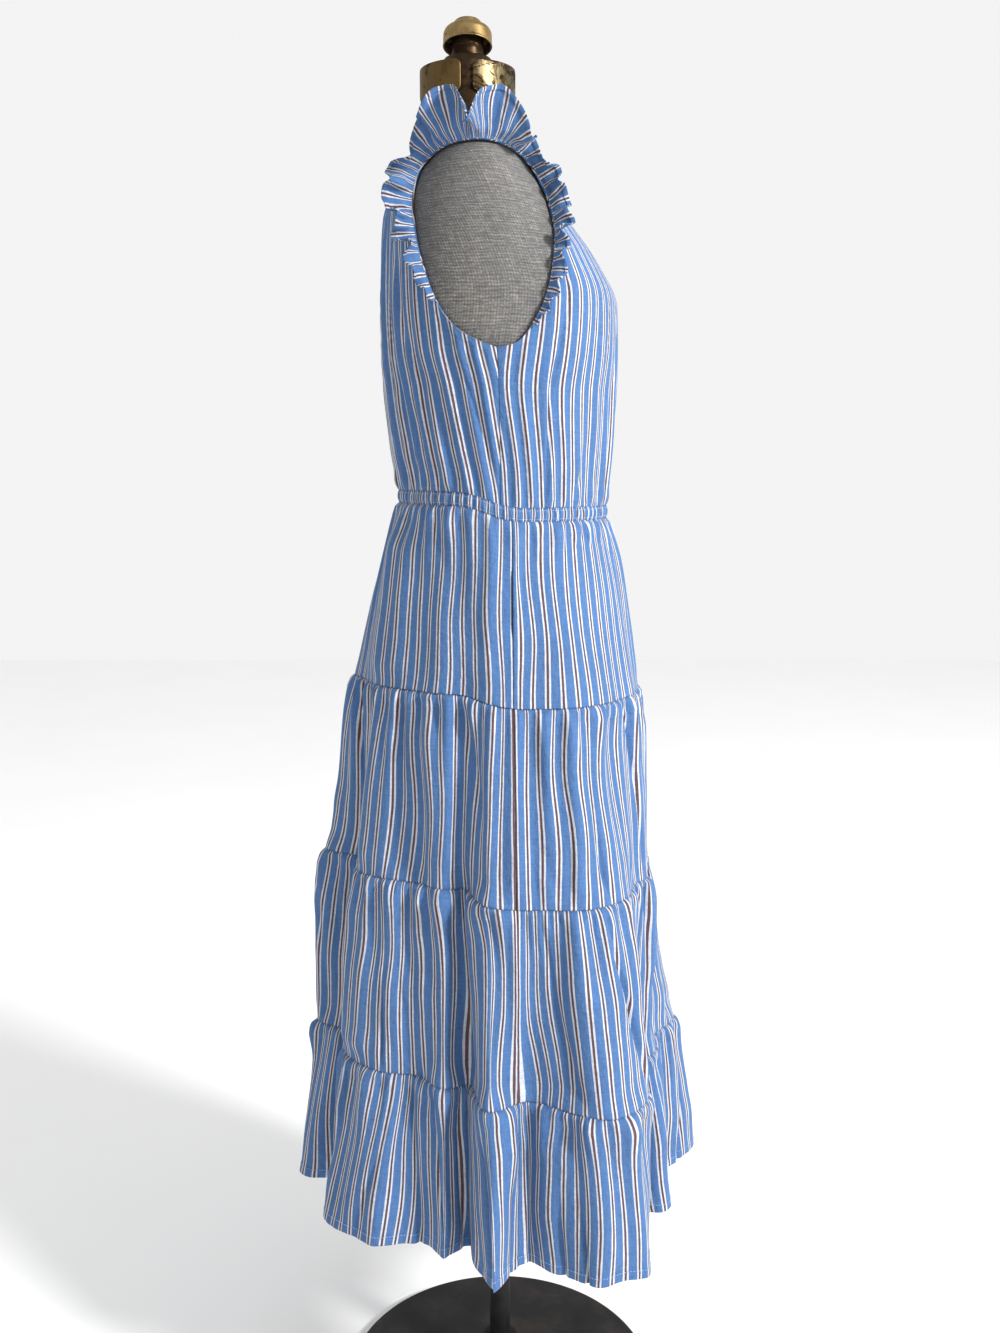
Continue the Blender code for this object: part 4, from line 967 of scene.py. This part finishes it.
def form_body(finish):
    highs = np.concatenate([np.linspace(FORM_BOTTOM, 0.33, 90), np.linspace(0.334, 0.4105, 36)])
    wide = 160
    theta = np.linspace(0, 2 * pi, wide + 1)
    inset = pchip([r[0] for r in FORM_INSETS], [r[1] for r in FORM_INSETS], highs)
    h = np.repeat(highs[:, None], wide + 1, axis=1)
    th = np.repeat(theta[None], len(highs), axis=0)
    grid = body(th, h) - body_normal(th, h) * inset[:, None, None]
    grid[:, -1] = grid[:, 0]
    bottom = grid[0].mean(axis=0)
    shrink = []
    for scale, rise in ((0.0, 0.0), (0.90, 0.0), (0.975, 0.0025)):
        ring = bottom + (grid[0] - bottom) * scale
        ring[:, 2] = grid[0, :, 2] + rise
        shrink.append(ring)
    top = grid[-1].mean(axis=0)
    cap = [top + (grid[-1] - top) * scale for scale in (0.96, 0.0)]
    full = np.concatenate([np.array(shrink), grid, np.array(cap)])
    run = np.array([arc(row) for row in full])
    v = np.concatenate([[0, 0.1, 0.11], arc(grid[:, 0]) + 0.12, [0.9, 1.0]])
    uv = np.stack([run, np.repeat(v[:, None], wide + 1, axis=1)], axis=-1)
    points, quads, uv, edge = join_grids([(full, uv, uv * 0 + 0.05)])
    piece = make_mesh("form_body", points, quads, uv, edge, finish)
    return placed(piece, "form_jersey", "form_torso")


def turned(name, profile, centre, steps, finish, tilt=0.0):
    """Turned piece about an upright axis through centre; its ends close on the axis."""
    rows = [(0.0, profile[0][1])] + list(profile) + [(0.0, profile[-1][1])]
    turns = np.linspace(0, 2 * pi, steps + 1)
    radius = np.array([r for r, _ in rows])[:, None]
    high = np.array([z for _, z in rows])[:, None]
    grid = np.stack([radius * np.cos(turns), radius * np.sin(turns), high + 0 * turns], axis=-1)
    lean = radians(tilt)
    x = grid[..., 0] * cos(lean) + grid[..., 2] * sin(lean)
    z = -grid[..., 0] * sin(lean) + grid[..., 2] * cos(lean)
    grid = np.stack([x, grid[..., 1], z], axis=-1) + np.array(centre)
    index = np.arange(len(rows) * steps).reshape(len(rows), steps)
    follow = np.roll(index, -1, axis=1)
    quads = np.stack([index[:-1], follow[:-1], follow[1:], index[1:]], axis=-1).reshape(-1, 4)
    points = grid[:, :-1].reshape(-1, 3)
    piece = make_mesh(name, points, quads, None, None, finish)
    work = bmesh.new()
    work.from_mesh(piece.data)
    bmesh.ops.remove_doubles(work, verts=work.verts, dist=1e-6)
    return sharpened(work, piece, 34)


def rounded(profile, size=0.0006, steps=3):
    """Profile with its corners rounded a little."""
    out = [profile[0]]
    for before, at, after in zip(profile, profile[1:], profile[2:]):
        one = np.array(before) - at
        two = np.array(after) - at
        a, b = np.linalg.norm(one), np.linalg.norm(two)
        r = min(size, a * 0.45, b * 0.45)
        start = np.array(at) + one / a * r
        end = np.array(at) + two / b * r
        for k in range(steps + 1):
            t = k / steps
            p = (1 - t) ** 2 * start + 2 * t * (1 - t) * np.array(at) + t**2 * end
            out.append((float(p[0]), float(p[1])))
    out.append(profile[-1])
    return out


def neck_plate(name, middle_angle, finish, rivets):
    """Curved plate with rounded corners and edges, and its rivets."""
    low, high = PLATE_LOW, PLATE_HIGH
    inner = NECK_RADIUS + 2 * SEAM_GAP
    radius = inner + PLATE_WALL
    corner = 0.0065
    rows, wide = 26, 40
    down = np.linspace(0, 1, rows + 1)
    down = 0.5 - 0.5 * np.cos(down * pi)
    z = low + (high - low) * down
    depth = np.minimum(z - low, high - z)
    inset = corner - np.sqrt(np.maximum(corner**2 - np.maximum(corner - depth, 0) ** 2, 0))
    half = radians(PLATE_ARC / 2) - inset / radius
    across = np.sin(np.linspace(-pi / 2, pi / 2, wide + 1))
    layers = []
    for r, shrink in ((inner, 0.0), (radius - 0.0005, 0.0), (radius - 0.00015, 0.00035), (radius, 0.0008)):
        span = np.maximum(half - shrink / radius, 0.001)
        turn = radians(middle_angle) + span[:, None] * across[None, :]
        rise = np.clip(z, low + shrink, high - shrink)[:, None] + 0 * turn
        layers.append(np.stack([-r * np.sin(turn), -r * np.cos(turn) - NECK_FORWARD, WAIST_Z + rise], axis=-1))
    points, faces, count = [], [], 0
    ids = []
    for layer in layers:
        ids.append(count + np.arange(layer.shape[0] * layer.shape[1]).reshape(layer.shape[:2]))
        points.append(layer.reshape(-1, 3))
        count += layer.shape[0] * layer.shape[1]
    front, back = ids[-1], ids[0]
    faces.append(np.stack([front[:-1, :-1], front[:-1, 1:], front[1:, 1:], front[1:, :-1]], -1).reshape(-1, 4))
    faces.append(np.stack([back[:-1, :-1], back[1:, :-1], back[1:, 1:], back[:-1, 1:]], -1).reshape(-1, 4))

    def rim(grid):
        return np.concatenate([grid[0, :], grid[1:, -1], grid[-1, -2::-1], grid[-2:0:-1, 0]])

    for one, two in zip(ids, ids[1:]):
        a, b = rim(one), rim(two)
        faces.append(np.stack([a, np.roll(a, -1), np.roll(b, -1), b], -1))
    piece = make_mesh(name, np.vstack(points), np.vstack(faces), None, None, finish)
    work = bmesh.new()
    work.from_mesh(piece.data)
    for turn, rise, size in rivets:
        a = radians(middle_angle + turn)
        axis = Vector((-sin(a), -cos(a), 0.0))
        spot = Vector((-(radius - 0.0002) * sin(a), -(radius - 0.0002) * cos(a) - NECK_FORWARD, WAIST_Z + rise))
        turn_to = axis.to_track_quat("Z", "Y").to_matrix()
        rings = []
        for k in range(6):
            t = k / 5 * pi / 2
            rr, hh = size * cos(t), size * 0.55 * sin(t)
            if k == 5:
                rings.append([work.verts.new(spot + turn_to @ Vector((0, 0, hh)))])
            else:
                rings.append([work.verts.new(spot + turn_to @ Vector((rr * cos(q), rr * sin(q), hh)))
                              for q in np.linspace(0, 2 * pi, 16, endpoint=False)])
        for one, two in zip(rings, rings[1:]):
            for q in range(16):
                w = (q + 1) % 16
                made = [one[q], one[w], two[0]] if len(two) == 1 else [one[q], one[w], two[w], two[q]]
                work.faces.new(made).smooth = True
        work.faces.new(list(reversed(rings[0])))
    return sharpened(work, piece, 40)


# ---- sewing


def stitches(name, lines, finish, space=0.0032, long=0.0024, thick=0.00030, lift=0.0002):
    """Small rounded stitches in a row along each (line, normals)."""
    corners, faces, count = [], [], 0
    for line, normals in lines:
        both = np.hstack([line, normals])
        total = arc(line)[-1]
        number = max(int(total / space), 2)
        both = resampled(both, number * 2 + 1, arc(line))
        for k in range(number):
            mid = both[2 * k + 1]
            direction = both[2 * k + 2, :3] - both[2 * k, :3]
            direction /= max(np.linalg.norm(direction), 1e-9)
            n = mid[3:] / max(np.linalg.norm(mid[3:]), 1e-9)
            s = np.cross(direction, n)
            spot = mid[:3] + n * lift
            corners.append(spot - direction * long / 2 - n * thick)
            for a in (-0.28, 0.28):
                for q in range(4):
                    w = pi / 4 + q * pi / 2
                    corners.append(spot + direction * long * a + thick * (cos(w) * s + sin(w) * n))
            corners.append(spot + direction * long / 2 - n * thick)
            for q in range(4):
                w = (q + 1) % 4
                faces.append((count, count + 1 + w, count + 1 + q, count + 1 + q))
                faces.append((count + 1 + q, count + 1 + w, count + 5 + w, count + 5 + q))
                faces.append((count + 9, count + 5 + q, count + 5 + w, count + 5 + w))
            count += 10
    mesh = bpy.data.meshes.new(name)
    mesh.from_pydata([tuple(p) for p in corners], [], [f[:3] if f[2] == f[3] else f for f in faces])
    mesh.update()
    for polygon in mesh.polygons:
        polygon.use_smooth = True
    piece = bpy.data.objects.new(name, mesh)
    bpy.context.scene.collection.objects.link(piece)
    mesh.materials.append(finish)
    return placed(piece, "striped_cotton")


# ---- materials


class Graph:
    """Short hand for a node tree."""

    def __init__(self, name):
        self.material = bpy.data.materials.new(name)
        self.material.use_nodes = True
        self.tree = self.material.node_tree
        self.shader = self.tree.nodes["Principled BSDF"]

    def add(self, kind, inputs=(), **settings):
        made = self.tree.nodes.new(kind)
        for key, value in settings.items():
            setattr(made, key, value)
        for key, value in inputs:
            self.put(made.inputs[key], value)
        return made

    def put(self, socket, value):
        if isinstance(value, bpy.types.NodeSocket):
            self.tree.links.new(value, socket)
        else:
            socket.default_value = value

    def math(self, operation, a, b=0.0, c=0.0):
        made = self.add("ShaderNodeMath", operation=operation)
        for socket, value in zip(made.inputs, (a, b, c)):
            self.put(socket, value)
        return made.outputs[0]

    def scaled(self, vector, scale):
        made = self.add("ShaderNodeMapping", [("Vector", vector), ("Scale", scale)])
        return made.outputs[0]

    def noise(self, vector, scale=(1, 1, 1), detail=2.0, rough=0.5, warp=0.0):
        made = self.add("ShaderNodeTexNoise", [("Vector", self.scaled(vector, scale)), ("Scale", 1.0),
                                               ("Detail", detail), ("Roughness", rough), ("Distortion", warp)])
        return made.outputs[0]

    def ramp(self, value, stops):
        made = self.add("ShaderNodeValToRGB", [("Fac", value)])
        marks = made.color_ramp.elements
        while len(marks) < len(stops):
            marks.new(0.5)
        for mark, (place, colour) in zip(marks, stops):
            mark.position = place
            mark.color = colour if len(colour) == 4 else (*colour, 1.0)
        return made.outputs[0]

    def mix(self, share, one, two, how="MIX"):
        made = self.add("ShaderNodeMix", data_type="RGBA", blend_type=how)
        self.put(made.inputs[0], share)
        self.put(made.inputs[6], one)
        self.put(made.inputs[7], two)
        return made.outputs[2]

    def grey(self, value, low, high, start=0.0, end=1.0):
        made = self.add("ShaderNodeMapRange", [("Value", value), ("From Min", start), ("From Max", end),
                                               ("To Min", low), ("To Max", high)])
        return made.outputs[0]

    def shaded(self, colour, tone):
        """Colour times a grey tone."""
        grey = self.add("ShaderNodeCombineXYZ", [("X", tone), ("Y", tone), ("Z", tone)]).outputs[0]
        return self.mix(1.0, colour, grey, "MULTIPLY")

    def bump(self, height, strength, distance):
        made = self.add("ShaderNodeBump", [("Height", height), ("Strength", strength), ("Distance", distance)])
        self.put(self.shader.inputs["Normal"], made.outputs[0])

    def set(self, **values):
        for key, value in values.items():
            self.put(self.shader.inputs[key.replace("_", " ")], value)


BLUE = (0.068, 0.156, 0.325, 1)
WHITE = (0.52, 0.53, 0.56, 1)
BROWN = (0.100, 0.045, 0.045, 1)


def striped_cotton(name):
    g = Graph(name)
    cloth = g.add("ShaderNodeUVMap", uv_map="cloth").outputs[0]
    edge = g.add("ShaderNodeUVMap", uv_map="edge").outputs[0]
    split = g.add("ShaderNodeSeparateXYZ", [("Vector", cloth)])
    wobble = g.math("MULTIPLY", g.math("SUBTRACT", g.noise(cloth, (55, 22, 1), 1.0), 0.5), 0.0011)
    thread = g.math("MULTIPLY", g.math("SUBTRACT", g.noise(cloth, (900, 120, 1), 1.0), 0.5), 0.0004)
    along = g.math("ADD", g.math("ADD", split.outputs[0], wobble), thread)
    phase = g.math("FRACT", g.math("DIVIDE", along, STRIPE_REPEAT))
    stripe = g.ramp(phase, [(0.0, BLUE), (0.285, BLUE), (0.303, WHITE), (0.412, WHITE), (0.430, BROWN),
                            (0.560, BROWN), (0.578, WHITE), (0.687, WHITE), (0.705, BLUE), (1.0, BLUE)])
    warp = g.noise(cloth, (1100, 70, 1), 2.0, 0.6)
    weft = g.noise(cloth, (60, 1000, 1), 2.0, 0.6)
    fade = g.noise(cloth, (26, 17, 1), 3.0, 0.55)
    colour = g.mix(g.grey(weft, 0.0, 0.14), stripe, (0.30, 0.37, 0.50, 1))
    slub = g.noise(cloth, (80, 430, 1), 3.0, 0.7)
    grain = g.noise(cloth, (430, 75, 1), 3.0, 0.7)
    tone = g.math("ADD", g.grey(warp, -0.16, 0.16), g.grey(fade, 0.84, 1.12))
    tone = g.math("ADD", tone, g.math("ADD", g.grey(slub, -0.24, 0.24), g.grey(grain, -0.20, 0.20)))
    colour = g.shaded(colour, tone)
    # Painted shade: the colour darkens by up to a tenth within about 2 mm of seams, turned edges and tucked rows,
    # and down to a quarter along the pocket opening.
    gap = g.add("ShaderNodeSeparateXYZ", [("Vector", edge)])
    near = g.math("MINIMUM", gap.outputs[0], gap.outputs[1])
    seam = g.grey(near, 0.90, 1.0, 0.0002, 0.0022)
    mouth = g.grey(near, 0.25, 1.0, -0.0016, -0.0002)
    colour = g.shaded(colour, g.math("MULTIPLY", seam, mouth))
    crinkle = g.noise(cloth, (150, 95, 1), 4.0, 0.62, 0.4)
    height = g.math("ADD", g.math("ADD", g.math("MULTIPLY", warp, 0.30), g.math("MULTIPLY", weft, 0.30)),
                    g.math("MULTIPLY", crinkle, 1.5))
    g.bump(height, 0.7, 0.0018)
    g.set(Base_Color=colour, Roughness=g.grey(fade, 0.74, 0.92), Sheen_Weight=0.12, Sheen_Roughness=0.5)
    return g.material


def plain_cotton(name):
    g = Graph(name)
    place = g.add("ShaderNodeTexCoord").outputs["Object"]
    threads = g.noise(place, (900, 900, 160), 2.0, 0.6)
    fade = g.noise(place, (22, 22, 14), 3.0)
    tone = g.math("ADD", g.grey(threads, -0.14, 0.14), g.grey(fade, 0.86, 1.10))
    g.bump(threads, 0.4, 0.0004)
    g.set(Base_Color=g.shaded(BLUE, tone), Roughness=g.grey(fade, 0.8, 0.95), Sheen_Weight=0.1)
    return g.material


def heather_jersey(name):
    g = Graph(name)
    cloth = g.add("ShaderNodeUVMap", uv_map="cloth").outputs[0]
    split = g.add("ShaderNodeSeparateXYZ", [("Vector", cloth)])
    drift = g.math("MULTIPLY", g.noise(cloth, (30, 12, 1), 2.0), 0.006)
    rows = g.math("SINE", g.math("MULTIPLY", g.math("ADD", split.outputs[1], drift), 2 * pi / 0.0034))
    ribs = g.math("SINE", g.math("MULTIPLY", split.outputs[0], 2 * pi / 0.0030))
    flecks = g.noise(cloth, (330, 700, 1), 3.0, 0.75)
    marl = g.noise(cloth, (55, 330, 1), 3.0, 0.7)
    lines = g.noise(cloth, (300, 40, 1), 2.0, 0.6)
    broad = g.noise(cloth, (9, 7, 1), 2.0)
    tone = g.math("ADD", g.grey(flecks, -0.02, 0.40), g.math("MULTIPLY", rows, 0.030))
    tone = g.math("ADD", tone, g.math("MULTIPLY", ribs, 0.020))
    tone = g.math("ADD", tone, g.math("ADD", g.grey(marl, -0.16, 0.16), g.grey(lines, -0.07, 0.07)))
    greys = [(0.02, (0.045, 0.048, 0.055)), (0.20, (0.180, 0.171, 0.158)), (0.38, (0.42, 0.395, 0.35))]
    colour = g.ramp(tone, greys)
    colour = g.mix(g.grey(broad, 0.0, 0.30), colour, (0.15, 0.16, 0.19, 1))
    fine = g.math("ADD", g.math("MULTIPLY", ribs, 0.22), flecks)
    height = g.math("ADD", g.math("MULTIPLY", rows, 0.30), fine)
    g.bump(height, 0.5, 0.0006)
    g.set(Base_Color=colour, Roughness=g.grey(flecks, 0.85, 1.0), Sheen_Weight=0.2, Sheen_Roughness=0.4)
    return g.material


def aged_brass(name, base, wear, stain):
    """Old brass: cloudy, with a worn paler layer and dark stains."""
    g = Graph(name)
    place = g.add("ShaderNodeTexCoord").outputs["Object"]
    cloud = g.noise(place, (60, 60, 45), 4.0, 0.6)
    patch = g.noise(place, (95, 95, 60), 5.0, 0.65, 0.6)
    spots = g.noise(place, (420, 420, 300), 3.0, 0.6)
    brushed = g.noise(place, (1500, 1500, 60), 2.0, 0.6)
    darker, lighter = tuple(0.55 * c for c in base), tuple(1.25 * c for c in base)
    colour = g.ramp(cloud, [(0.25, darker), (0.5, base), (0.75, lighter)])
    worn = g.grey(patch, 0.0, 1.0, 0.62 - wear, 0.66 - wear)
    colour = g.mix(worn, colour, (0.20, 0.17, 0.105, 1)) if wear > 0 else colour
    dirt = g.grey(g.noise(place, (48, 48, 80), 5.0, 0.7, 0.8), 0.0, 1.0, 0.60 - stain, 0.68 - stain)
    colour = g.mix(dirt, colour, (0.045, 0.026, 0.014, 1))
    colour = g.mix(g.grey(spots, -0.1, 0.3), colour, (0.10, 0.065, 0.03, 1))
    rough = g.math("ADD", g.grey(cloud, 0.34, 0.56), g.math("MULTIPLY", dirt, 0.30))
    fine = g.math("ADD", brushed, g.math("MULTIPLY", dirt, -0.6))
    height = g.math("ADD", g.math("MULTIPLY", spots, 0.5), fine)
    g.bump(height, 0.25, 0.0004)
    g.set(Base_Color=colour, Metallic=0.95, Roughness=rough)
    return g.material


def dark_iron(name):
    g = Graph(name)
    place = g.add("ShaderNodeTexCoord").outputs["Object"]
    cast = g.noise(place, (380, 380, 380), 3.0, 0.6)
    cloud = g.noise(place, (18, 18, 18), 4.0, 0.6)
    greys = [(0.3, (0.020, 0.020, 0.022)), (0.55, (0.040, 0.039, 0.040)), (0.78, (0.085, 0.070, 0.058))]
    colour = g.ramp(cloud, greys)
    g.bump(cast, 0.35, 0.0008)
    g.set(Base_Color=colour, Metallic=0.55, Roughness=g.grey(cloud, 0.40, 0.68))
    return g.material


def sewing_thread(name):
    g = Graph(name)
    place = g.add("ShaderNodeTexCoord").outputs["Object"]
    twist = g.noise(place, (2600, 2600, 2600), 1.0)
    g.bump(twist, 0.4, 0.0002)
    g.set(Base_Color=g.ramp(twist, [(0.3, (0.30, 0.42, 0.66)), (0.7, (0.50, 0.61, 0.80))]), Roughness=0.7)
    return g.material


# ---- build

STRIPE = striped_cotton("cotton_striped")
POCKET = plain_cotton("cotton_pocket")
JERSEY = heather_jersey("jersey_heather")
BRASS = aged_brass("brass_aged", (0.170, 0.118, 0.052), 0.0, 0.0)
BRASS_WORN = aged_brass("brass_worn", (0.100, 0.076, 0.042), 0.12, 0.10)
BRASS_CAP = aged_brass("brass_cap", (0.37, 0.27, 0.135), 0.0, 0.02)
BRASS_DULL = aged_brass("brass_dull", (0.075, 0.052, 0.032), 0.0, 0.08)
IRON = dark_iron("iron_dark")
THREAD = sewing_thread("thread_blue")

form_body(JERSEY)
for label, at_back in (("bodice_front", False), ("bodice_back", True)):
    piece, area = bodice(label + "_cloth", at_back, STRIPE)
    placed(piece, "striped_cotton", label)
band, band_side = waistband(STRIPE)
ruffle("ruffle_right", 1, STRIPE)
ruffle("ruffle_left", -1, STRIPE)
hem_lines = []
for number in range(len(TIERS)):
    for label, first, last in PANELS:
        grid, normals = tier_panel(number, first, last, STRIPE, label)
        if number == len(TIERS) - 1:
            hem_lines.append((grid[-9], normals[-5]))
stitches("hem_stitches", hem_lines, THREAD)
band_rows = [(band[4], band_side), (band[-5], band_side)]
stitches("band_stitches", band_rows, THREAD, space=0.0028, long=0.0020)

CORE = rounded([(NECK_RADIUS, 0.4110), (NECK_RADIUS, 0.4590), (0.0465, 0.4590), (0.0465, 0.4400), (0.0285, 0.4400),
                (0.0285, 0.4700), (0.0250, 0.4770), (0.0170, 0.4780), (0.0170, 0.5001)], 0.0009)
placed(turned("neck_inner", CORE, (0.0, -NECK_FORWARD, WAIST_Z), 96, BRASS_DULL), "aged_brass", "neck_core")
CAP = rounded([(0.0100, 0.0140), (0.0200, 0.0136), (0.0238, 0.0090), (0.0246, 0.0000), (0.0262, -0.0006),
               (0.0268, 0.0004), (0.0262, 0.0020), (0.0262, 0.0125), (0.0250, 0.0162), (0.0205, 0.0196),
               (0.0156, 0.0222), (0.0150, 0.0258), (0.0130, 0.0268)], 0.0012, 4)
lid = turned("neck_lid", CAP, (0.0, -NECK_FORWARD, WAIST_Z + 0.490), 96, BRASS_CAP, tilt=12.0)
placed(lid, "aged_brass", "neck_cap")
for k in range(4):
    finish = BRASS_WORN if k in (0, 3) else BRASS
    holes = [(12.0, 0.4420, 0.0019), (-30.0, 0.4420, 0.0015)] if k in (0, 3) else [(18.0, 0.4425, 0.0019)]
    plate = neck_plate(f"brass_plate_{k + 1}", 45 + 90 * k, finish, holes)
    placed(plate, "aged_brass", f"neck_plate_{k + 1}")

POLE_LOW = 0.060 + SEAM_GAP
POLE = [(0.0125, POLE_LOW), (0.0125, WAIST_Z + FORM_BOTTOM - SEAM_GAP)]
placed(turned("pole", POLE, (0, 0, 0), 64, IRON), "stand_iron", "stand_pole")
HUB = rounded([(0.040, 0.0143), (0.038, 0.018), (0.028, 0.026), (0.023, 0.040), (0.021, 0.060)], 0.004, 5)
placed(turned("hub", HUB, (0, 0, 0), 96, IRON), "stand_iron", "stand_hub")
FOOT = rounded([(0.188, 0.000), (0.190, 0.002), (0.190, 0.010), (0.186, 0.014), (0.045, 0.0142)], 0.003, 5)
placed(turned("foot", FOOT, (0, 0, 0), 160, IRON), "stand_iron", "stand_foot")
for node in ("pocket_right", "pocket_left"):
    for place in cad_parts[node].material_slots:
        place.material = POCKET

# ---- stage, light and camera

floor_mesh = bpy.data.meshes.new("floor")
FLOOR_CORNERS = [(x, y, -0.0004) for x, y in ((-6, -6), (6, -6), (6, 6), (-6, 6))]
floor_mesh.from_pydata(FLOOR_CORNERS, [], [(0, 1, 2, 3)])
floor = bpy.data.objects.new("floor", floor_mesh)
bpy.context.scene.collection.objects.link(floor)
ground = Graph("floor_pale")
spot = ground.add("ShaderNodeTexCoord").outputs["Object"]
PALE = [(0.3, (0.905, 0.905, 0.905)), (0.7, (0.915, 0.915, 0.915))]
ground.set(Base_Color=ground.ramp(ground.noise(spot, (3, 3, 3)), PALE), Roughness=0.9)
floor_mesh.materials.append(ground.material)

world = bpy.data.worlds.new("studio")
world.use_nodes = True
world.node_tree.nodes["Background"].inputs[0].default_value = (1.0, 1.0, 1.0, 1)
world.node_tree.nodes["Background"].inputs[1].default_value = 0.92
bpy.context.scene.world = world


def area_light(name, place, target, size, power):
    light = bpy.data.lights.new(name, "AREA")
    light.shape = "DISK"
    light.size = size
    light.energy = power
    lamp = bpy.data.objects.new(name, light)
    lamp.location = place
    lamp.rotation_euler = (Vector(target) - Vector(place)).to_track_quat("-Z", "Y").to_euler()
    bpy.context.scene.collection.objects.link(lamp)


area_light("key", (-2.5, -3.2, 3.0), (0, 0, 0.9), 0.8, 250)

lens = bpy.data.cameras.new("camera")
lens.sensor_fit = "AUTO"
lens.sensor_width = 36
lens.lens = 36 * 1300 / 1333
bpy.context.scene.view_settings.view_transform = "Standard"
bpy.context.scene.view_settings.gamma = 0.80
view = bpy.data.objects.new("camera", lens)
bpy.context.scene.collection.objects.link(view)
view.location = (-1.49, 0.0, 1.149)
gaze = Vector((cos(radians(9)), 0.0, -sin(radians(9))))
view.rotation_euler = gaze.to_track_quat("-Z", "Y").to_euler()
bpy.context.scene.camera = view
